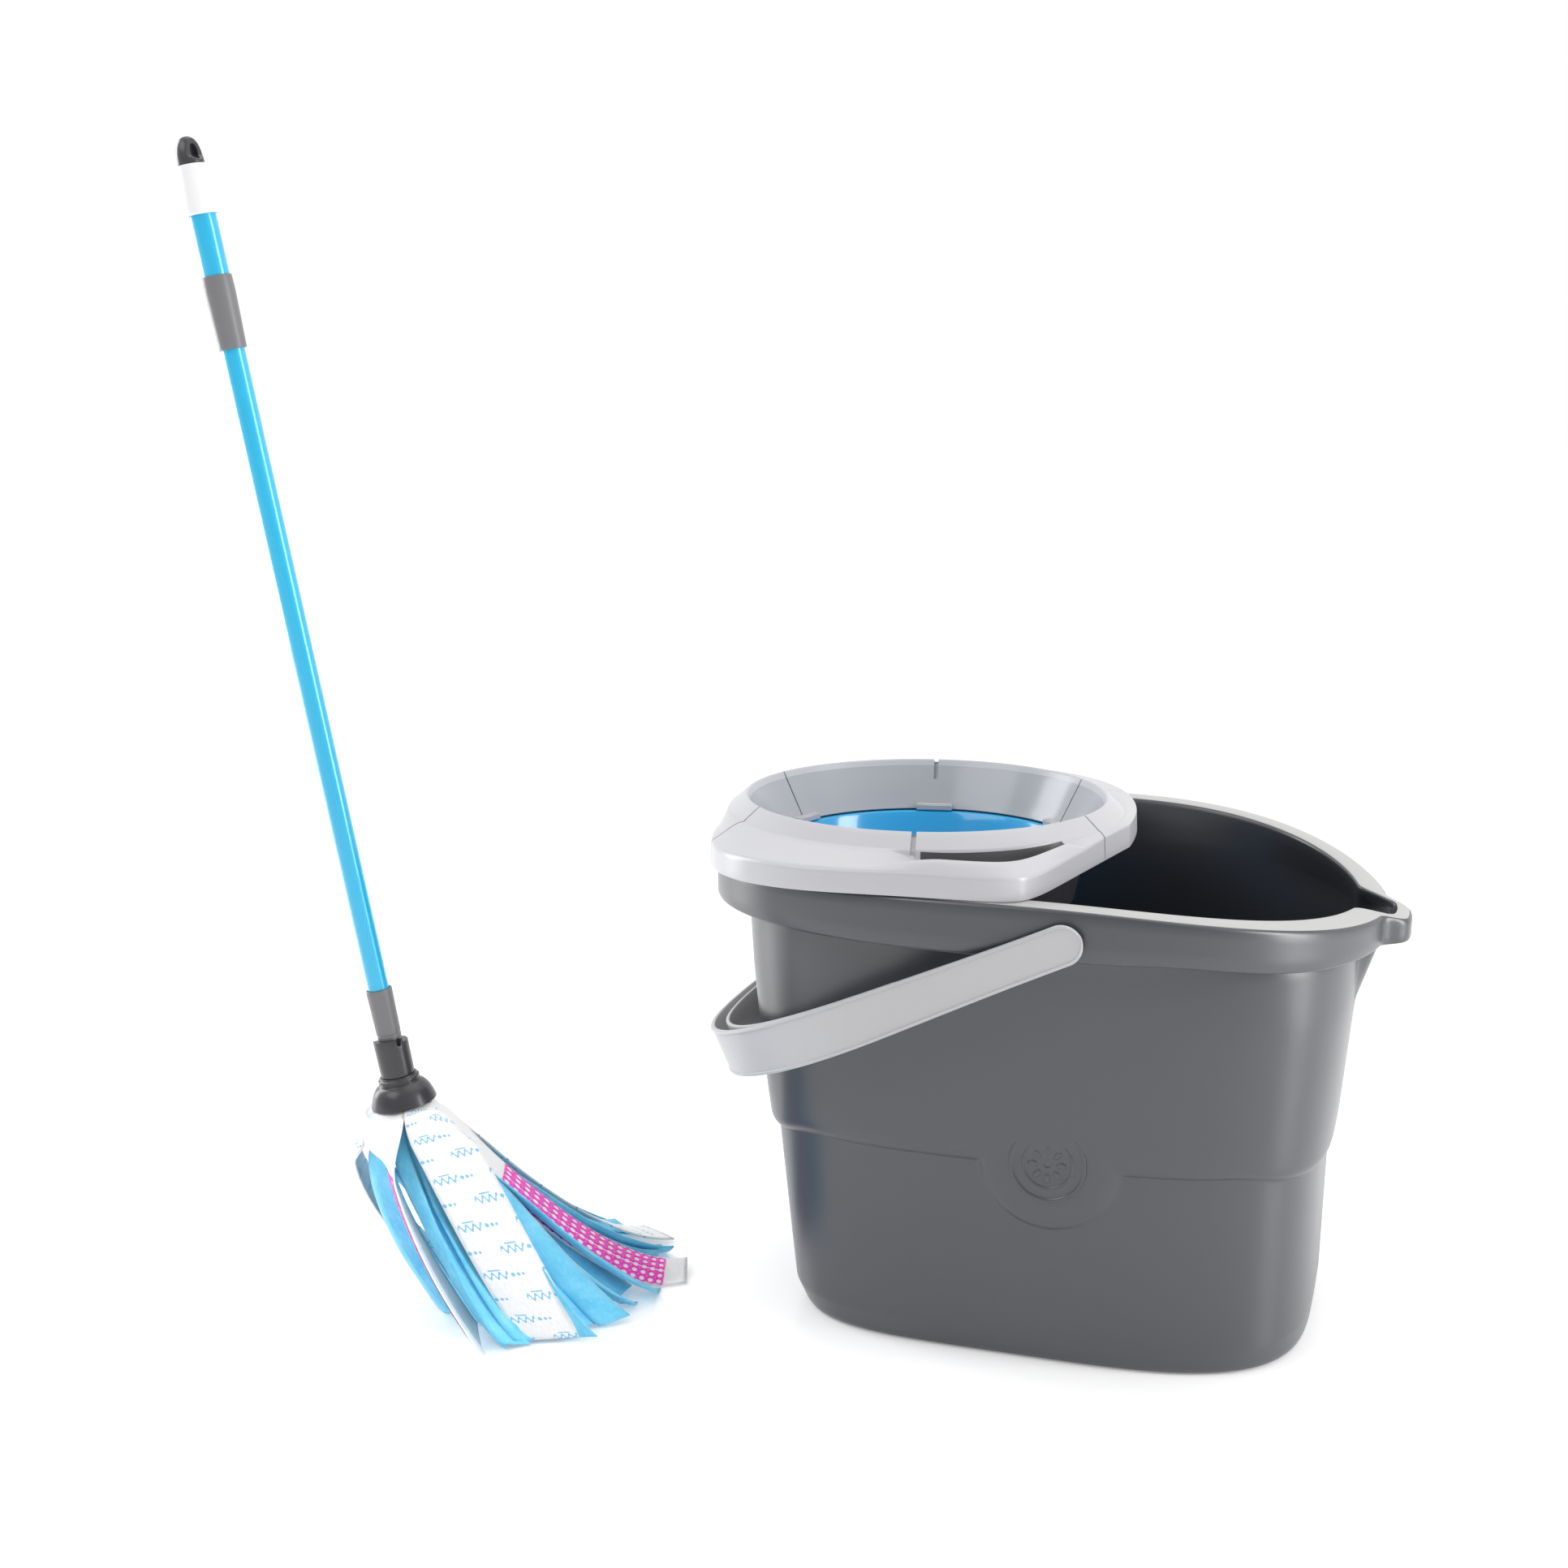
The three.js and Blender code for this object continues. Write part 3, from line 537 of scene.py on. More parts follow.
def level_ring(x, radius, z, segments):
    """A level circle of points about an upright axis at one x."""
    turns = np.arange(segments) * 2 * math.pi / segments
    return np.column_stack((x + radius * np.cos(turns), radius * np.sin(turns), np.full(segments, z)))


def turned(corners, segments=96, looped=True):
    """A solid turned about Z from a rounded profile. If it isn't looped, it starts and ends on the axis."""
    profile = fillet(corners)
    rings = [level_ring(0.0, r, z, segments) for r, z in profile]
    if looped:
        return skin(rings, looped=True)
    points, faces = skin(rings[1:-1])
    for end, start in ((profile[0], 0), (profile[-1], (len(rings) - 3) * segments)):
        points = np.vstack([points, (0, 0, end[1])])
        faces += [(len(points) - 1, start + j, start + (j + 1) % segments) for j in range(segments)]
    return points, faces


def placed(part, matrix):
    """A (points, faces) pair moved by a matrix."""
    points, faces = part
    return [tuple(matrix @ Vector(p)) for p in points], faces


# ---- bucket ----
def rim_z(x):
    drop = np.where(x > 0, RIM_RIGHT_DROP, RIM_LEFT_DROP)
    return RIM_MIDDLE_Z - drop * np.abs(x / RIM_REACH) ** RIM_FALL_POWER


def band_bottom_z(x):
    return BAND_BOTTOM_Z - BAND_RIGHT_DROP * smooth(x, *BAND_DROP_X)


def step_z(x):
    drop = np.where(x > 0, STEP_RIGHT_DROP, STEP_LEFT_DROP)
    return STEP_Z - drop * smooth(np.abs(x), *STEP_DROP_X)


def outline(turns, left, right, half, left_power, right_power, right_fall, spout=0.0):
    """A rounded box seen from above, a power curve on each side, with the pouring spout on the right."""
    c, s = np.cos(turns), np.sin(turns)
    ahead = c > 0
    power = np.where(ahead, right_power, left_power)
    fall = np.where(ahead, right_fall, left_power)
    x = np.sign(c) * np.where(ahead, right, left) * np.abs(c) ** (2 / power)
    y = np.sign(s) * half * np.abs(s) ** (2 / fall)
    bulge = spout * np.exp(-np.abs(y / SPOUT_HALF_WIDTH) ** SPOUT_SQUARENESS)
    return x + np.where(ahead, bulge, 0), y


def even_turns(count):
    """Turns that space the points of a boxy outline evenly along the bucket's wall."""
    fine = np.linspace(0, 2 * math.pi, EVENING_POINTS)
    x, y = outline(fine, 0.17, 0.172, 0.138, 3.9, 3.4, 3.4)
    run = np.concatenate([[0], np.cumsum(np.hypot(np.diff(x), np.diff(y)))])
    return np.interp(np.arange(count) / count * run[-1], run, fine)


BUCKET_TURNS = even_turns(BUCKET_POINTS)
# height, reach left and right, half width, and squareness left and right, below the step and above it
BELOW_STEP = np.array([
    (0.000, 0.1480, 0.1680, 0.1300, 4.3, 3.5),
    (0.016, 0.1560, 0.1695, 0.1340, 4.2, 3.5),
    (0.117, 0.1680, 0.1715, 0.1380, 4.0, 3.5),
    (0.300, 0.1897, 0.1751, 0.1452, 3.6, 3.5),
])
ABOVE_STEP = np.array([
    (0.000, 0.1536, 0.1664, 0.1376, 4.2, 3.5),
    (0.140, 0.1760, 0.1785, 0.1428, 3.9, 3.4),
    (0.215, 0.1880, 0.1850, 0.1450, 3.4, 3.2),
    (0.260, 0.1930, 0.1870, 0.1470, 3.1, 2.9),
])


def wall_outline(table, z, inset, spout):
    sizes = [np.interp(z, table[:, 0], column) for column in table.T[1:]]
    left, right, half, left_power, right_power = sizes
    return outline(BUCKET_TURNS, left - inset, right - inset, half - inset,
                   left_power, right_power, right_power, spout)


def wall_ring(z, inset=0.0):
    """The bucket's wall at one height, which is a number or one height for each point."""
    z = np.broadcast_to(z, BUCKET_TURNS.shape)
    spout = SPOUT_REACH * np.clip((z - GUSSET_BOTTOM_Z) / GUSSET_HEIGHT, 0, 1)
    x_low, y_low = wall_outline(BELOW_STEP, z, inset, spout)
    x_high, y_high = wall_outline(ABOVE_STEP, z, inset, spout)
    over_line = z - step_z(x_low)
    clearing = BADGE_CLEARING - np.hypot(x_low - BADGE_X, z - BADGE_Z)
    front = np.where(y_low < 0, clearing, -1)
    share = 1 - (1 - np.clip(np.maximum(over_line, front) / STEP_ROUNDING, 0, 1)) ** 3
    return np.column_stack((mix(x_low, x_high, share), mix(y_low, y_high, share), z))


def rim_ring(inset, level, rise=0.0, spout=SPOUT_REACH):
    """A ring of the rim or its band, a rise above the level that a function of x gives."""
    left, right, half = (reach - inset for reach in RIM_OUTLINE[:3])
    x, y = outline(BUCKET_TURNS, left, right, half, *RIM_OUTLINE[3:], spout)
    return np.column_stack((x, y, level(x) + rise))


def bucket():
    """The bucket as rings: up the outside, over the band and the rim, and down the inside."""
    heights = [0.006, 0.010, 0.014, 0.0155, 0.017, 0.020, 0.028, 0.042, 0.058, 0.070]
    heights += list(np.arange(0.076, 0.138, 0.0008))
    heights += [0.139, 0.142, 0.147]
    heights += [0.156, 0.164, 0.176, 0.190, 0.204, 0.212, 0.220, 0.228, 0.236, 0.244]
    foot = [wall_ring(0.0, 0.0045), wall_ring(0.0004, 0.0022), wall_ring(0.0016, 0.0006), wall_ring(0.004)]
    outside = foot + [wall_ring(z) for z in heights]
    top_x = wall_ring(0.26)[:, 0]
    outside.append(wall_ring(band_bottom_z(top_x) + 0.003))
    outside.append(rim_ring(0.014, rim_z, -0.006))
    band_foot = ((WALL, 0.0016), (0.0025, 0.0004), (0.0016, 0.0), (0.0006, 0.0005), (0.0, 0.0018))
    band_head = ((0.0, -0.0026), (0.0005, -0.0010), (0.0018, -0.0002))
    band = [rim_ring(WALL, rim_z, -0.006)]
    band += [rim_ring(inset, band_bottom_z, rise) for inset, rise in band_foot]
    band += [mix(rim_ring(0.0, band_bottom_z), rim_ring(0.0, rim_z), share) for share in (0.35, 0.7)]
    band += [rim_ring(inset, rim_z, rise) for inset, rise in band_head]
    rim_top = [rim_ring(0.0030, rim_z), rim_ring(0.009, rim_z), rim_ring(0.0155, rim_z, 0.0, CHANNEL_REACH)]
    inner_lip = [rim_ring(inset, rim_z, rise, CHANNEL_REACH)
                 for inset, rise in ((0.0168, -0.0004), (0.0177, -0.0015), (0.0180, -0.0035))]
    wall_under_rim = wall_ring(band_bottom_z(top_x), WALL)
    inner_lip += [mix(inner_lip[-1], wall_under_rim, share) for share in (0.3, 0.6, 0.85, 1.0)]
    inside_heights = [0.240, 0.22, 0.20, 0.18, 0.16, 0.148, 0.142, 0.136, 0.130, 0.124, 0.118, 0.112]
    inside_heights += [0.106, 0.10, 0.08, 0.05, 0.02]
    inside = [wall_ring(z, WALL) for z in inside_heights]
    inside += [wall_ring(z, WALL + inset) for z, inset in ((0.0075, 0.001), (0.005, 0.004), (0.004, 0.012))]
    rings = outside + band + rim_top + inner_lip + inside
    piece = add_piece("bucket", *skin(rings, capped=True), bucket_plastic, "bucket", ["bucket_shell"], 50)
    # the rim's top faces take the lighter grey, a painted reflection of the overhead light
    piece.data.materials.append(rim_top_painted_highlight.material)
    top_level = len(outside) + len(band)
    for face in piece.data.polygons[(top_level - 1) * BUCKET_POINTS:(top_level + 3) * BUCKET_POINTS]:
        face.material_index = 1


def front_wall_y(x, z):
    """The front wall's y at one place, read off the wall's ring there."""
    ring = wall_ring(z)
    front = ring[ring[:, 1] < 0]
    order = np.argsort(front[:, 0])
    return float(np.interp(x, front[order, 0], front[order, 1]))


def badge():
    """A round badge: raised border, fine inner ring and a fan of drops round a plain centre."""
    profile = mm((23, -1.0, 0), (23, 0.8, 0.6), (21.4, 0.8, 0.6), (20.6, 0.1, 0.4), (15.5, 0.1, 0.4),
                 (15.0, 0.6, 0.3), (14.2, 0.6, 0.3), (13.7, 0.1, 0.3), (2, 0.1, 0), (2, -1.0, 0))
    drop_profile = mm((0, 0.7, 0), (1.6, 0.6, 0.4), (2.1, -0.4, 0), (0, -0.4, 0))
    stretch = Matrix.Translation((0, 0.0085, 0)) @ Matrix.Diagonal((1, 1.7, 1, 1))
    parts = [turned(profile, 96)]
    for k in range(BADGE_DROPS):
        turn = Matrix.Rotation(2 * math.pi * k / BADGE_DROPS, 4, "Z")
        parts.append(placed(turned(drop_profile, 20, False), turn @ stretch))
    below, above = BADGE_Z - 0.015, BADGE_Z + 0.015
    lean = math.atan2(front_wall_y(BADGE_X, below) - front_wall_y(BADGE_X, above), above - below)
    at = Vector((BADGE_X, front_wall_y(BADGE_X, BADGE_Z) - 0.0002, BADGE_Z))
    facing = Matrix.Translation(at) @ Matrix.Rotation(math.pi / 2 - lean, 4, "X")
    add_piece("badge", *placed(joined(*parts), facing), bucket_plastic, "bucket", sharp=60)


# ---- bail ----
def bail_path(reach, half, start):
    """One arm, the bow and the other arm, seen flat. A start below 0 adds points for a round end."""
    turns = np.linspace(-math.pi / 2, math.pi / 2, BAIL_SAMPLES)
    c = np.clip(np.cos(turns), 0, 1)
    s = np.sin(turns)
    x = BAIL_SHOULDER + (reach - BAIL_SHOULDER) * c ** (2 / BAIL_SQUARENESS)
    y = np.sign(s) * half * np.abs(s) ** (2 / BAIL_SQUARENESS)
    round_end = start * np.cos(np.linspace(0, math.pi / 2, 14)) if start < 0 else np.array([start])
    straight = np.concatenate([round_end, np.linspace(max(start, 0), BAIL_SHOULDER, 24)[1:-1]])
    ends = np.full(len(straight), half)
    return np.column_stack((np.concatenate([straight, x, straight[::-1]]),
                            np.concatenate([-ends, y, ends])))


def strap_half(x):
    """Half the strap's width: a round end over the eye, then slowly wider towards the grip."""
    straight = BAIL_EYE + BAIL_WIDENING * smooth(x, 0, BAIL_WIDE_AT)
    return np.where(x < 0, np.sqrt(np.maximum(BAIL_EYE ** 2 - x ** 2, 1e-9)), straight)


def strap(path, thick, lip):
    """A band along a path, with rounded edges and a raised border on its outer face."""
    along = np.gradient(path, axis=0)
    along /= np.linalg.norm(along, axis=1)[:, None]
    rings = []
    for point, direction in zip(path, along):
        half = float(strap_half(point[0]))
        k = min(1.0, half / 0.004)
        deep, edge = lip * k, 0.0012 * k
        outer = [(edge, half), (edge * 0.3, half - edge * 0.3), (0, half - edge), (0, half - 1.6 * edge),
                 (deep, half - 1.9 * edge)]
        inner = [(thick, half - edge), (thick - edge * 0.3, half - edge * 0.3), (thick - edge, half)]
        lower = [(depth, -across) for depth, across in (inner + outer)[::-1]]
        section = outer + lower + inner
        inward = np.array((-direction[1], direction[0]))
        rings.append([(*(point + inward * depth), across) for depth, across in section])
    return skin(rings, capped=True)


def bail_to_world(point):
    x, y, z = point
    c, s = math.cos(BAIL_DROOP), math.sin(BAIL_DROOP)
    return PIVOT.x - x * c + z * s, y, PIVOT.z - x * s - z * c


def bail():
    """An outer strap with round ends, an inner one at the grip, the web between them and two pegs."""
    outer = bail_path(BAIL_REACH, BAIL_HALF_SPAN, BAIL_END)
    inner = bail_path(BAIL_REACH - BAIL_GRIP_DEPTH + BAIL_STRAP, BAIL_HALF_SPAN - 0.0015, BAIL_GRIP_START)
    parts = [strap(outer, BAIL_STRAP, BAIL_LIP), strap(inner, BAIL_STRAP - BAIL_LIP, 0.0)]
    rings = []
    grip_outer = bail_path(BAIL_REACH, BAIL_HALF_SPAN, BAIL_GRIP_START)
    for a, b in zip(grip_outer, inner):
        gap = np.linalg.norm(b - a)
        near = mix(a, b, min(0.6, BAIL_STRAP / 2 / gap))
        far = mix(a, b, 0.95)
        web = ((near, 1), (near, -1), (far, -1), (far, 1))
        rings.append([(*place, side * BAIL_WEB_HALF) for place, side in web])
    parts.append(skin(rings, capped=True))
    peg_profile = mm((0, -4, 0), (6, -4, 0), (6, 4.8, 0.8), (0, 4.8, 0))
    for side in (-1, 1):
        turn = Matrix.Rotation(side * math.pi / 2, 4, "X")
        at = Matrix.Translation((0, side * (BAIL_HALF_SPAN - BAIL_STRAP - 0.004), 0))
        parts.append(placed(turned(peg_profile, 40, False), at @ turn))
    points, faces = joined(*parts)
    points = [bail_to_world(p) for p in points]
    add_piece("bail", points, faces, bail_plastic, "bail", ["bail_handle"], 42)


# ---- wringer ----
def skirt_radius(turns):
    """How far the skirt's edge is from the ring's centre. Its front right corner is the lifting lug."""
    fine = np.linspace(-math.pi, math.pi, 7201)
    c, s = np.cos(fine), np.sin(fine)

    def boxed(width, power):
        return (width ** power + (np.abs(s) / SKIRT_HALF) ** power) ** (-1 / power)

    left = boxed(np.abs(c) / SKIRT_LEFT, 2.6)
    back = boxed(np.abs(c) / SKIRT_RIGHT, 2.3)
    slant = np.maximum(c * math.cos(LUG_SLANT) - s * math.sin(LUG_SLANT), 1e-6)
    lug = boxed(slant / (SKIRT_RIGHT * math.cos(LUG_SLANT)), LUG_SQUARENESS)
    reach = np.where(c < 0, left, np.where(s > 0, back, lug))
    x = SKIRT_X + reach * c - RING_X
    y = reach * s
    around = np.unwrap(np.arctan2(y, x))
    return np.interp((turns + math.pi) % (2 * math.pi) - math.pi, around, np.hypot(x, y))


def groove_size(k):
    """Half width and depth of one groove: every third one is wide."""
    return NARROW_GROOVE if k % 3 else WIDE_GROOVE


def ring_turns():
    """Even turns, with extra ones where the grooves' sides are."""
    turns = list(np.arange(RING_POINTS) * 2 * math.pi / RING_POINTS)
    for k, middle in enumerate(GROOVES):
        half = groove_size(k)[0]
        for offset in (-half - 0.0003, -half, -half + 0.0003, 0, half - 0.0003, half, half + 0.0003):
            turns.append((middle + offset / LIP_RADIUS) % (2 * math.pi))
    return np.array(sorted(turns))


def lug_share(x, y):
    """How much of the lifting lug, which holds the hand slot, is at one place of the deck."""
    return smooth(x, *LUG_X) * smooth(-y, *LUG_Y)


def deck_height(turns, depth):
    """The deck's height and radius between the skirt's edge, depth 0, and the shoulder, depth LUG_DECK."""
    radius = skirt_radius(turns)
    share = depth / LUG_DECK
    place = mix(radius, SHOULDER_RADIUS, share)
    rim = rim_z(RING_X + radius * np.cos(turns))
    edge = np.minimum(rim + DECK_EDGE_RISE, DECK_EDGE_Z)
    rounding = DECK_ROUNDING * math.exp(-depth / 0.0016)
    plain = mix(edge, SHOULDER_Z, smooth(share, -0.15, 1.0)) - rounding
    crest = mix(CREST_EDGE_Z, CREST_Z, smooth(depth, 0.0, 0.012)) - rounding
    fall = smooth(depth, 0.0122, 0.0160)
    rise = smooth(depth, LUG_DECK - 0.0035, LUG_DECK)
    lug = mix(mix(crest, POCKET_Z, fall), SHOULDER_Z, rise)
    in_lug = lug_share(RING_X + place * np.cos(turns), place * np.sin(turns))
    return mix(plain, lug, in_lug), place


def cut_grooves(rings, turns, lip_top, outside):
    """Sinks the grooves into the rings: the narrow ones over the whole outside, the wide ones by the lip."""
    normals = np.cross(np.gradient(rings, axis=0), np.roll(rings, -1, axis=1) - np.roll(rings, 1, axis=1))
    normals /= np.linalg.norm(normals, axis=2)[..., None] + 1e-12
    for k, middle in enumerate(GROOVES):
        half, deep = groove_size(k)
        gap = np.abs((turns - middle + math.pi) % (2 * math.pi) - math.pi) * LIP_RADIUS
        cut_share = 1 - smooth(gap, half - 0.00035, half)
        first, last = (2, outside - 3) if k % 3 else (6, lip_top + 7)
        rings[first:last] -= normals[first:last] * (cut_share * deep)[None, :, None]


def wringer_ring():
    """The funnel, lip, deck with its lifting lug, skirt and underside, as rings, and six tabs."""
    turns = ring_turns()
    c, s = np.cos(turns), np.sin(turns)

    def ring(radius, z):
        radius = np.broadcast_to(radius, turns.shape)
        return np.column_stack((RING_X + radius * c, radius * s, np.broadcast_to(z, turns.shape)))

    edge = skirt_radius(turns)
    rim = rim_z(RING_X + edge * c)
    rings = [ring(THROAT_RADIUS + 0.0004, THROAT_Z), ring(THROAT_RADIUS, THROAT_Z + 0.0006)]
    for share in (0.1, 0.25, 0.45, 0.62, 0.66, 0.8, 0.92):
        rings.append(ring(mix(THROAT_RADIUS, LIP_RADIUS, share), mix(THROAT_Z, LIP_Z - 0.0016, share)))
    rings += [ring(LIP_RADIUS, LIP_Z - 0.0012), ring(LIP_RADIUS + 0.0004, LIP_Z - 0.0004),
              ring(LIP_RADIUS + 0.0012, LIP_Z), ring(LIP_RADIUS + 0.0022, LIP_Z - 0.0005)]
    lip_top = len(rings)
    for share in (0.25, 0.55, 0.85, 0.96):
        rings.append(ring(mix(LIP_RADIUS + 0.0022, SHOULDER_RADIUS, share),
                          mix(LIP_Z - 0.0005, SHOULDER_Z, share)))
    deck_top = len(rings)
    for depth in DECK_DEPTHS:
        height, place = deck_height(turns, depth)
        rings.append(ring(place, height))
    wall_top = rings[-1][:, 2]
    for share in (0.12, 0.3, 0.6, 0.93):
        rings.append(ring(edge + 0.0006 * share, mix(wall_top, rim + 0.0004, share)))
    rings += [ring(edge + 0.0003, rim + 0.0004), ring(edge - SKIN, rim + 0.0004)]
    outside = len(rings)
    for depth in (0.003, 0.012, 0.020, 0.034, 0.050, 0.060):
        height, place = deck_height(turns, depth)
        rings.append(ring(place - SKIN * 0.8, np.minimum(height, wall_top + 0.003) - SKIN))
    rings += [ring(LIP_RADIUS + 0.003, LIP_Z - 0.006), ring(THROAT_RADIUS + SKIN, THROAT_Z)]
    rings = np.array(rings)
    cut_grooves(rings, turns, lip_top, outside)
    centre = Matrix.Translation((RING_X, 0, 0))
    spot = Matrix.Translation((THROAT_RADIUS - 0.0016, 0, THROAT_Z + 0.0019))
    tab = tab_block(0.0062, 0.025, 0.0042)
    tabs = [placed(tab, centre @ Matrix.Rotation(turn, 4, "Z") @ spot) for turn in GROOVES]
    points, faces = joined(skin(rings, looped=True), *tabs)
    piece = add_piece("wringer_funnel", points, faces, ring_plastic, "wringer", ["wringer_ring"], 48)
    paint_wringer(piece, turns, deck_top)


def paint_wringer(piece, turns, deck_top):
    """Gives the funnel's inner wall a darker grey as painted shade, and the hand slot a near-black painted
    shade.
    """
    piece.data.materials.append(ring_inside_painted_shade.material)
    piece.data.materials.append(slot_painted_shade.material)
    # the inner wall's faces get the darker grey, painted shade
    for face in piece.data.polygons[:INNER_WALL_RINGS * len(turns)]:
        face.material_index = 1
    # the slot's painted shade reaches from under the shoulder to behind the crest
    under_shoulder = deck_top + DECK_DEPTHS.index(0.0592)
    behind_crest = deck_top + DECK_DEPTHS.index(0.0145)
    shaded_columns = lug_share(RING_X + POCKET_RADIUS * np.cos(turns), POCKET_RADIUS * np.sin(turns)) > POCKET_SHADE_SHARE
    for column in np.flatnonzero(shaded_columns).tolist():
        for level in range(under_shoulder, behind_crest):
            piece.data.polygons[level * len(turns) + column].material_index = 2


def tab_block(length, width, height):
    """A small block with rounded edges."""
    work = bmesh.new()
    bmesh.ops.create_cube(work, size=1.0, matrix=Matrix.Diagonal((length, width, height, 1)))
    bmesh.ops.bevel(work, geom=work.edges[:], offset=0.0007, segments=3, affect="EDGES")
    points = [tuple(v.co) for v in work.verts]
    faces = [tuple(v.index for v in f.verts) for f in work.faces]
    work.free()
    return points, faces


def basket():
    """A conical basket with drain slots in its wall and floor."""
    flange = [(0.1004, BASKET_TOP_Z - 0.0022), (0.1006, BASKET_TOP_Z - 0.0006), (0.0998, BASKET_TOP_Z),
              (0.0945, BASKET_TOP_Z), (0.0932, BASKET_TOP_Z - 0.0004),
              (BASKET_WALL_TOP, BASKET_TOP_Z - 0.0016)]
    wall = [(mix(BASKET_WALL_TOP, BASKET_FLOOR_RADIUS + 0.002, t),
             mix(BASKET_TOP_Z - 0.0016, BASKET_FLOOR_Z + 0.006, t)) for t in np.linspace(0.04, 1, 26)]
    level = BASKET_FLOOR_Z + 0.0026
    floor = [(BASKET_FLOOR_RADIUS, BASKET_FLOOR_Z + 0.0032), (BASKET_FLOOR_RADIUS - 0.003, level)]
    floor += [(mix(BASKET_FLOOR_RADIUS - 0.004, 0.012, t), level) for t in np.linspace(0, 1, 14)]
    points, faces = skin([level_ring(RING_X, r, z, BASKET_COLUMNS) for r, z in flange + wall + floor])
    kept = []
    floor_start = len(flange) + len(wall)
    for index, face in enumerate(faces):
        row, column = divmod(index, BASKET_COLUMNS)
        in_wall_slot = len(flange) + 5 <= row <= len(flange) + 22 and column % 12 in (5, 6)
        in_floor_slot = floor_start + 4 <= row <= floor_start + 12 and column % 12 in (4, 5, 6, 7)
        if not (in_wall_slot or in_floor_slot):
            kept.append(face)
    piece = add_piece("basket", points, kept, basket_plastic, "basket", ["wringer_basket"], 40)
    apply_modifier(piece, "SOLIDIFY", thickness=0.0022, offset=-1.0)
    round_edges(piece, 0.0004, 50)


# ---- mop head and handle, along the handle's own axis ----
MOP = Matrix.Translation(DOME_AT) @ UP.rotation_difference(HANDLE_AXIS).to_matrix().to_4x4()


def mop_part(name, part, finish, body, node, sharp=40):
    return add_piece(name, *placed(part, MOP), finish, body, [node], sharp)


def dome():
    profile = mm((17.8, 4.4, 0.3), (20.4, 4.4, 0.3), (19.2, 9.0, 2), (17.4, 13.2, 3), (15.0, 16.2, 2),
                 (13.0, 17.4, 0.8), (12.7, 18.4, 0.3), (12.2, 18.6, 0.2), (12.2, 19.4, 0.2),
                 (12.8, 19.6, 0.4), (12.8, 21.0, 0.5), (11.6, 21.6, 0.5), (11.4, 22.6, 0.3), (7, 22.6, 0),
                 (7, 20.5, 0), (11, 17.5, 1), (15, 12, 2), (17, 8, 1))
    mop_part("dome", turned(profile, 128), dark_plastic, "mop_head", "head_dome")


def socket():
    """The upright socket, with a step and a slot in its top edge."""
    profile = mm((7, 22.7, 0), (10.3, 22.7, 0.3), (10.5, 27, 1), (10.65, 40.4, 0),
                 (10.7, 41.4, 0), (10.6, 46.6, 0.3), (7, 46.6, 0.3))
    points, faces = turned(profile, 128)
    shaped = []
    for x, y, z in points:
        turn = (math.atan2(y, x) - SOCKET_STEP_TURN) % (2 * math.pi)
        low = float(smooth(turn, 1.0, 1.03) * (1 - smooth(turn, 5.0, 5.03)))
        slot = float(smooth(turn, 0.60, 0.63) * (1 - smooth(turn, 0.86, 0.89)))
        drop = max(low * SOCKET_STEP, slot * SOCKET_SLOT) if z > 0.042 else 0.0
        shaped.append((x, y, z - drop))
    mop_part("socket", (shaped, faces), dark_plastic, "mop_head", "head_socket", 35)


def ferrule():
    profile = mm((0.8, 24.2, 0), (6.5, 24.2, 0.4), (6.5, 45.9, 0), (7.25, 46.0, 0.3), (7.5, 48.8, 0.2),
                 (7.2, 49.2, 0.1), (7.2, 49.7, 0.1), (7.55, 50.1, 0.2), (8.05, 77, 0.6), (7.9, 78.5, 0.6),
                 (6.8, 78.5, 0.3), (6.8, 52.1, 0), (0.8, 52.1, 0))
    mop_part("ferrule", turned(profile, 96), sleeve_plastic, "handle_lower", "handle_ferrule")


def tube(name, node, body, radius, bottom, top):
    inner = radius - 0.9
    profile = mm((inner, bottom, 0), (radius, bottom, 0.2), (radius, top, 0.2), (inner, top, 0))
    mop_part(name, turned(profile, 96), tube_lacquer, body, node)


def lock_sleeve():
    profile = mm((6.85, 469.9, 0.3), (7.9, 469.9, 0.4), (8.1, 478, 6), (8.45, 491, 8), (8.75, 502.5, 4),
                 (8.6, 508.6, 2), (8.4, 511.8, 0.5), (7.75, 511.8, 0.2), (7.75, 480.2, 0), (7.65, 471.4, 0),
                 (6.85, 471.4, 0))
    mop_part("sleeve", turned(profile, 96), sleeve_plastic, "lock", "lock_sleeve")


def hand_grip():
    profile = mm((7.75, 546.2, 0.3), (9.3, 546.2, 0.8), (9.65, 550, 2), (9.2, 557, 4), (8.3, 567, 4),
                 (7.95, 574.2, 0.4), (7.75, 574.2, 0))
    mop_part("grip", turned(profile, 96), white_plastic, "handle_upper", "hand_grip")


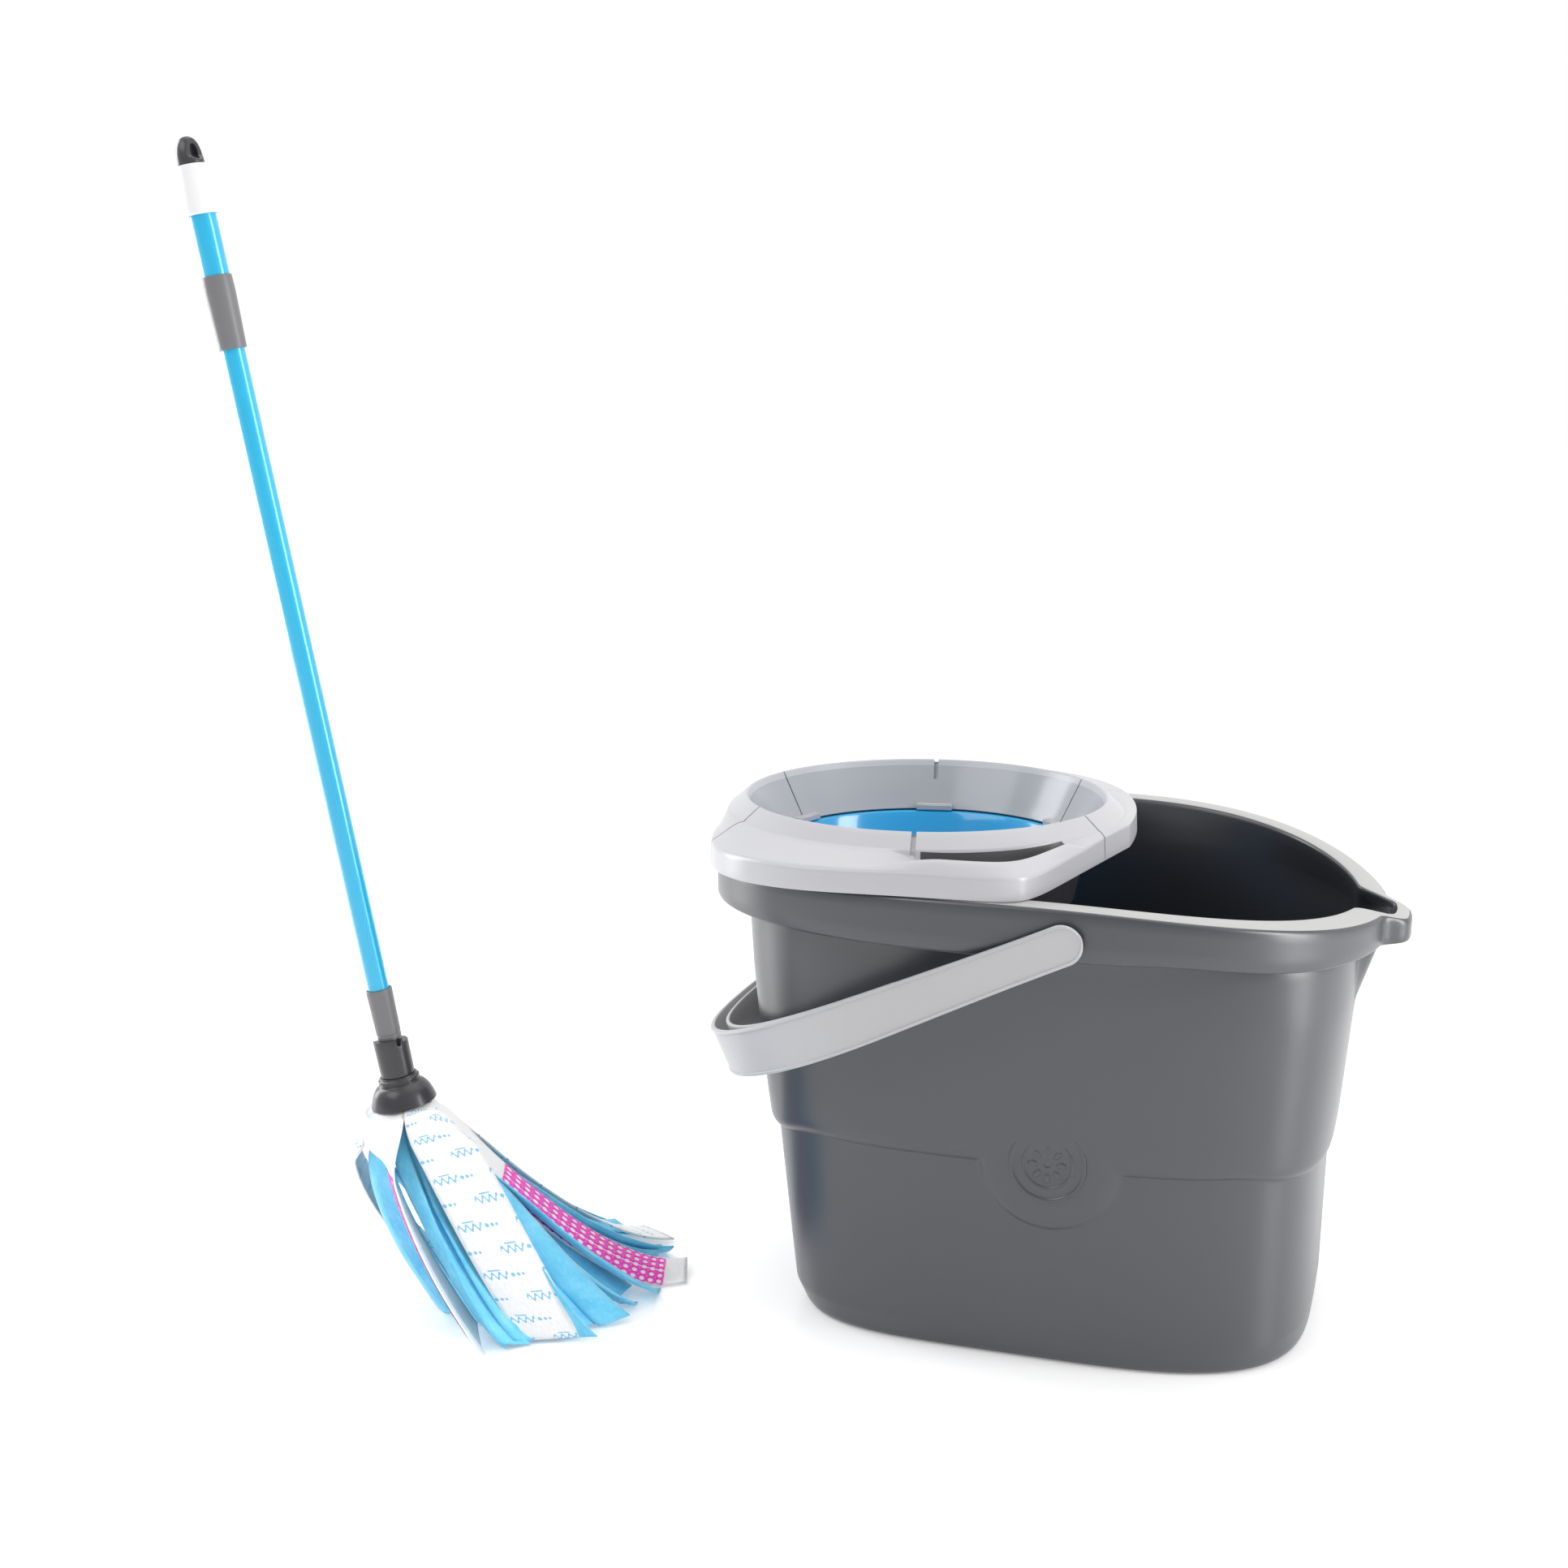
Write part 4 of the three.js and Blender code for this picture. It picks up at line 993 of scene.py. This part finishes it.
def hang_cap():
    """A bullet-shaped cap with a scooped flat on one side and an oval eye through it."""
    profile = mm((0, 564, 0), (6.25, 564, 0.3), (6.25, 574.6, 0), (7.6, 574.6, 0.3), (7.6, 577, 2),
                 (7.1, 582, 3), (5.6, 586.6, 3), (3.0, 589.5, 2), (0, 590, 0))
    points, faces = turned(profile, 128, False)
    across = Vector((-math.sin(EYE_TURN), math.cos(EYE_TURN), 0))
    shaped = []
    for point in points:
        p = Vector(point)
        depth = p.dot(across)
        lowest = -mix(0.0078, 0.0042, float(smooth(p.z, 0.5755, 0.5790)))
        if p.z > CAP_SEAT_Z:
            p -= across * min(0, depth - lowest)
        shaped.append(tuple(p))
    piece = mop_part("end_cap", (shaped, faces), dark_plastic, "handle_upper", "hang_cap", 30)
    eye_profile = mm((0, -12, 0), (3, -12, 0), (3, 12, 0), (0, 12, 0))
    turn = Matrix.Rotation(EYE_TURN, 4, "Z")
    oval = Matrix.Translation((0, 0, 0.581)) @ turn @ Matrix.Diagonal((1, 1, 1.5, 1))
    lying = MOP @ oval @ Matrix.Rotation(math.pi / 2, 4, "X")
    eye_part = placed(turned(eye_profile, 48, False), lying)
    eye = add_piece("eye_cutter", *eye_part, dark_plastic, "handle_upper")
    apply_modifier(piece, "BOOLEAN", object=eye, operation="DIFFERENCE", solver="EXACT")
    bpy.data.objects.remove(eye)
    round_edges(piece, 0.0003, 40)


# ---- cloth ----
# The head stands with its strips swept to one side: the direction of a strip's tip from the middle of the
# tips, in degrees, by the direction the strip leaves the dome in.
SWEPT_FROM = (269, 286, 300, 329, 347, 356, 366, 389, 405, 449, 509, 569, 629)
SWEPT_TO = (262, 272, 282, 298, 310, 323, 345, 380, 398, 424, 480, 550, 622)


class Strip:
    """One strip's middle line, width and set, as it hangs from the dome to the floor."""

    def __init__(self, layer, degrees, width, sway=0.0, twist=0.0, curl=0.0, reach=0.0, sag=0.0,
                 puffed=0.0, droop=0.0, turned_by=(0.12, 0.75)):
        self.width = width
        self.root_width = layer["root_width"]
        self.opened = layer["opened"]
        self.puff = layer["puff"]
        self.degrees = degrees
        self.swing = float(np.interp(degrees, SWEPT_FROM, SWEPT_TO)) - degrees
        out = self.outward(0)
        tip_out = self.outward(1)
        root_out = (out - HANDLE_AXIS * out.dot(HANDLE_AXIS)).normalized()
        start = DOME_AT - HANDLE_AXIS * layer["start"] + root_out * layer["root"]
        spread = layer["spread"] + reach
        tip = Vector((TIP_CENTRE[0] + TIP_REACH[0] * spread * tip_out.x,
                      TIP_CENTRE[1] + TIP_REACH[1] * spread * tip_out.y, TIP_Z))
        near = start + out * (layer["bulge"] + puffed) - HANDLE_AXIS * (layer["drop"] + droop)
        far = start.lerp(tip, FAR_KNOT) + tip_out * (layer["belly"] + puffed / 2) - UP * (layer["sag"] + sag)
        side = Vector((-tip_out.y, tip_out.x, 0))
        self.knots = (start, near, far + side * sway, tip + side * sway * TIP_SWAY)
        self.twist = twist
        self.turned_by = turned_by
        self.curl = curl
        line = [self.middle(t / 40) for t in range(41)]
        self.length = sum((b - a).length for a, b in zip(line, line[1:]))

    def outward(self, t):
        turn = math.radians(self.degrees + self.swing * float(smooth(t, 0, 1)))
        return Vector((math.cos(turn), math.sin(turn), 0))

    def middle(self, t):
        a, b, c, d = self.knots
        return a * (1 - t) ** 3 + b * 3 * t * (1 - t) ** 2 + c * 3 * t * t * (1 - t) + d * t ** 3

    def point(self, across, t):
        """The cloth at one place: across from -1 to 1, and t from the dome, 0, to the tip, 1."""
        here = self.middle(t)
        along = (self.middle(min(t + 0.01, 1)) - self.middle(max(t - 0.01, 0))).normalized()
        out = self.outward(t)
        side = Vector((-out.y, out.x, 0))
        turned_side = Matrix.Rotation(self.twist * float(smooth(t, *self.turned_by)), 3, along) @ side
        face = along.cross(turned_side).normalized()
        half = mix(self.root_width, self.width, float(smooth(t, 0.0, self.opened))) / 2
        puffed = float(smooth(t, *PUFF_RISE) * (1 - smooth(t, PUFF_RISE[1], PUFF_END)))
        here = here + HANDLE_AXIS * self.puff * puffed
        bow = self.curl * float(smooth(t, *CURL_START)) * (1 - CURL_LOSS * float(smooth(t, *CURL_END)))
        place = here + turned_side * across * half + face * bow * (across * across - 0.33) * half
        place.z = max(place.z, FLOOR_GAP)
        return place


WHITE_LAYER = {"root": 0.0162, "root_width": 0.0170, "opened": 0.24, "start": -0.0034, "bulge": 0.030,
               "drop": 0.007, "spread": 1.0, "belly": 0.012, "sag": 0.010, "puff": 0.0022}
BLUE_LAYER = {"root": 0.0121, "root_width": 0.0060, "opened": 0.50, "start": 0.0026, "bulge": 0.024,
              "drop": 0.016, "spread": 0.93, "belly": 0.008, "sag": 0.010, "puff": 0.0}
CORE_LAYER = {"root": 0.0086, "root_width": 0.0055, "opened": 0.40, "start": 0.0026, "bulge": 0.015,
              "drop": 0.024, "spread": 0.64, "belly": 0.002, "sag": 0.014, "puff": 0.0}
WHITE_NODES = ["strip_white_front", "strip_mesh_right", "strip_white_right_back", "strip_mesh_back",
               "strip_white_left_back", "strip_mesh_left"]
WHITE_STRIPS = [
    Strip(WHITE_LAYER, 329, 0.040, curl=-0.10, twist=0.05, reach=-0.10),
    Strip(WHITE_LAYER, 389, 0.029, curl=-0.10, twist=0.26, reach=0.07, sag=0.044, droop=0.050,
          turned_by=(0.04, 0.45)),
    Strip(WHITE_LAYER, 449, 0.032, curl=-0.10, sag=0.034, droop=0.030),
    Strip(WHITE_LAYER, 509, 0.029, curl=-0.14, twist=0.08, droop=0.006, puffed=0.004),
    Strip(WHITE_LAYER, 569, 0.032, curl=-0.12, puffed=0.014, droop=0.010),
    Strip(WHITE_LAYER, 629, 0.029, curl=-0.15, twist=1.02, puffed=0.010, droop=0.008,
          turned_by=(0.02, 0.34)),
]
PRINTED_STRIPS = (0, 2, 4)
# how far down the slit after each strip starts, as a share of the strip's length
SLIT_STARTS = [0.15, 0.13, 0.16, 0.18, 0.17, 0.06]


def grid_faces(grid):
    """Faces between rows of point numbers."""
    return [(upper[c], upper[c + 1], lower[c + 1], lower[c])
            for upper, lower in zip(grid, grid[1:]) for c in range(len(upper) - 1)]


def white_sheet():
    """The white cloth: one sheet, whole under the dome and slit into six strips below."""
    points = []
    faces = []
    flat = []
    index_of = {}
    offset = 0.0
    for k, strip in enumerate(WHITE_STRIPS):
        after = WHITE_STRIPS[(k + 1) % 6]
        before = WHITE_STRIPS[k - 1]
        grid = []
        for row in range(WHITE_ROWS + 1):
            t = row / WHITE_ROWS * mix(0.35, 1.0, row / WHITE_ROWS)
            line = []
            open_right = float(smooth(t, SLIT_STARTS[k], SLIT_STARTS[k] + SLIT_OPENING))
            open_left = float(smooth(t, SLIT_STARTS[k - 1], SLIT_STARTS[k - 1] + SLIT_OPENING))
            right_seam = (strip.point(1, t) + after.point(-1, t)) / 2
            left_seam = (strip.point(-1, t) + before.point(1, t)) / 2
            right_pull = (right_seam - strip.point(1, t)) * (1 - open_right)
            left_pull = (left_seam - strip.point(-1, t)) * (1 - open_left)
            for column in range(WHITE_COLUMNS + 1):
                u = 2 * column / WHITE_COLUMNS - 1
                shared = None
                if column == WHITE_COLUMNS and t <= SLIT_STARTS[k]:
                    shared = (k, row)
                if column == 0 and t <= SLIT_STARTS[k - 1]:
                    shared = ((k - 1) % 6, row)
                if shared in index_of:
                    line.append(index_of[shared])
                    continue
                if shared:
                    index_of[shared] = len(points)
                line.append(len(points))
                points.append(strip.point(u, t) + right_pull * max(u, 0) ** 2 + left_pull * max(-u, 0) ** 2)
                flat.append((offset + (u + 1) / 2 * strip.width, t * strip.length))
            grid.append(line)
        faces += grid_faces(grid)
        offset += strip.width
    piece = add_piece("white_cloth", points, faces, white_cloth, "mop_head", WHITE_NODES, 60, flat)
    piece.data.materials.append(plain_white_cloth.material)
    for index, face in enumerate(piece.data.polygons):
        face.material_index = int(index // (WHITE_ROWS * WHITE_COLUMNS) not in PRINTED_STRIPS)
    apply_modifier(piece, "SOLIDIFY", thickness=SHEET_THICKNESS, offset=0.0)


def blue_strip(name, strip, replaced):
    points = []
    flat = []
    for row in range(BLUE_ROWS + 1):
        t = row / BLUE_ROWS
        for column in range(BLUE_COLUMNS + 1):
            u = 2 * column / BLUE_COLUMNS - 1
            points.append(strip.point(u, t))
            flat.append(((u + 1) / 2 * strip.width, t * strip.length))
    faces = grid_faces(np.arange(len(points)).reshape(BLUE_ROWS + 1, -1).tolist())
    piece = add_piece(name, points, faces, blue_cloth, "mop_head", replaced, 60, flat)
    apply_modifier(piece, "SOLIDIFY", thickness=SHEET_THICKNESS, offset=0.0)


# the directions the blue strips leave the dome in, with every second one a little further in
BLUE_DEGREES = (280, 287, 294, 301, 308, 340, 347, 353, 359, 367,
                376, 405, 412, 426, 470, 490, 528, 548, 600, 615)
BLUE_NODES_DEGREES = (299, 344, 389, 434, 479, 524, 569, 614)


def blue_strips():
    for k, degrees in enumerate(BLUE_DEGREES):
        inner = k % 2
        drooping = 0.030 * float(smooth(degrees, 340, 400) * (1 - smooth(degrees, 460, 500)))
        leftward = float(smooth(degrees, 480, 560)) + float(1 - smooth(degrees, 270, 300))
        main = Strip(BLUE_LAYER, degrees, BLUE_WIDTH - 0.002 * inner, random.uniform(-0.004, 0.004),
                     random.choice((-0.95, -0.55, 0.35, 0.75)), random.choice((-0.6, -0.35, 0.3)),
                     reach=random.uniform(-0.03, 0.03) - 0.09 * inner,
                     sag=drooping + random.uniform(0.0, 0.010), puffed=0.012 * leftward,
                     droop=0.7 * drooping, turned_by=(0.05, random.uniform(0.4, 0.9)))
        nearest = min(range(8), key=lambda node: abs(BLUE_NODES_DEGREES[node] - degrees))
        blue_strip(f"blue_strip_{k + 1}", main, [f"strip_blue_{nearest + 1}"])
    for k in range(6):
        core = Strip(CORE_LAYER, 314 + 60 * k, CORE_WIDTH, random.uniform(-0.008, 0.008),
                     random.uniform(-0.8, 0.8), random.uniform(-0.4, 0.3))
        blue_strip(f"blue_core_{k + 1}", core, [f"strip_core_{k + 1}"])


def raised_point(strip, u, t, height):
    """A point above a strip's outer face."""
    u = max(-1, min(1, u))
    place = strip.point(u, t)
    nearby = strip.point(u * 0.98, t) - place
    ahead = strip.middle(min(t + 0.01, 1)) - strip.middle(t)
    face = nearby.cross(ahead).normalized()
    if face.dot(place - Vector((*TIP_CENTRE, 0.0))) < 0:
        face.negate()
    return place + face * height


def lattice(name, strip):
    """A raised scrubbing print of rounded bars with oval gaps, laid on a strip's outer face."""
    start, end = LATTICE_SPAN
    cells = round((end - start) * strip.length / LATTICE_CELL)
    points = []
    faces = []
    for cell, row in ((i, j) for i in range(cells) for j in range(LATTICE_ROWS)):
        base = len(points)
        for level, (grow, stretch, height) in enumerate(LATTICE_GAP):
            for k in range(LATTICE_SIDES):
                turn = 2 * math.pi * k / LATTICE_SIDES
                c, s = math.cos(turn), math.sin(turn)
                bulge = mix(1 / max(abs(c), abs(s)), 1.0, min(1.0, level / 2))
                along = cell + 0.5 + 0.5 * c * bulge * grow
                across = row + 0.5 + 0.5 * s * bulge * grow * stretch
                u = LATTICE_HALF * (2 * across / LATTICE_ROWS - 1)
                u += LATTICE_WAVE * math.sin(2 * math.pi * along) * (level == 0)
                t = start + along / cells * (end - start)
                points.append(raised_point(strip, u, t, LATTICE_RAISE * height))
        for level in range(len(LATTICE_GAP) - 1):
            for k in range(LATTICE_SIDES):
                a = base + level * LATTICE_SIDES + k
                b = base + level * LATTICE_SIDES + (k + 1) % LATTICE_SIDES
                faces.append((a, b, b + LATTICE_SIDES, a + LATTICE_SIDES))
    add_piece(name, points, faces, pink_print, "mop_head", sharp=70)


def kept_nodes():
    """CAD pieces whose shape stays, with their finishes."""
    finishes = {"basket_retainer": dark_plastic, "clamp_plate": dark_plastic, "clamp_screw": screw_steel,
                "tube_end_bush": white_plastic, "lock_collet": white_plastic}
    for name, finish in finishes.items():
        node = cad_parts[name]
        node.data.materials.clear()
        node.data.materials.append(finish.material)


# ---- studio ----
def studio_floor():
    floor_mesh = bpy.data.meshes.new("floor")
    corners = ((-1, -1), (1, -1), (1, 1), (-1, 1))
    floor_mesh.from_pydata([(x * FLOOR_REACH, y * FLOOR_REACH, 0) for x, y in corners], [], [(0, 1, 2, 3)])
    floor = add_object("floor", floor_mesh)
    floor.location.z = -FLOOR_DROP
    finish = Finish("studio_floor", Roughness=0.22)
    finish.shader.inputs["Base Color"].default_value = (0.93, 0.93, 0.935, 1)
    finish.shader.inputs["Specular IOR Level"].default_value = 0.25
    finish.shader.inputs["Emission Color"].default_value = (1, 1, 1, 1)
    finish.shader.inputs["Emission Strength"].default_value = 0.2
    floor_mesh.materials.append(finish.material)


def studio_world():
    """A white world, a little dimmer towards the camera's side."""
    world = bpy.data.worlds.new("studio")
    bpy.context.scene.world = world
    world.use_nodes = True
    tree = world.node_tree
    way = tree.nodes.new("ShaderNodeSeparateXYZ")
    tree.links.new(tree.nodes.new("ShaderNodeTexCoord").outputs["Generated"], way.inputs[0])
    ramp = tree.nodes.new("ShaderNodeMapRange")
    for name, value in (("From Min", -0.75), ("From Max", -0.1), ("To Min", 0.55), ("To Max", 1.0)):
        ramp.inputs[name].default_value = value
    tree.links.new(way.outputs["Y"], ramp.inputs["Value"])
    tree.links.new(ramp.outputs[0], tree.nodes["Background"].inputs["Strength"])
    tree.nodes["Background"].inputs["Color"].default_value = (1, 1, 1, 1)


def studio_lights():
    for name, place, size, power, aim in LIGHTS:
        light = bpy.data.lights.new(name, "AREA")
        light.shape = "RECTANGLE"
        light.size, light.size_y = size
        light.energy = power
        lamp = add_object(name, light)
        lamp.location = place
        lamp.rotation_euler = (Vector(aim) - Vector(place)).to_track_quat("-Z", "Y").to_euler()


def camera():
    data = bpy.data.cameras.new("camera")
    data.sensor_width = 36
    data.lens = LENS
    data.clip_end = 60
    eye = add_object("camera", data)
    eye.location = CAMERA_AT
    eye.rotation_euler = (CAMERA_TILT, 0, CAMERA_TURN)
    bpy.context.scene.camera = eye
    bpy.context.scene.view_settings.view_transform = "Standard"


camera()
bucket()
badge()
bail()
wringer_ring()
basket()
dome()
socket()
ferrule()
tube("lower_handle_tube", "lower_tube", "handle_lower", 6.5, 52.4, 505)
tube("upper_handle_tube", "upper_tube", "handle_upper", 7.5, 480, 574.3)
lock_sleeve()
hand_grip()
hang_cap()
white_sheet()
blue_strips()
lattice("pink_lattice_right", WHITE_STRIPS[1])
lattice("pink_lattice_back", WHITE_STRIPS[3])
lattice("pink_lattice_left", WHITE_STRIPS[5])
kept_nodes()
studio_floor()
studio_world()
studio_lights()
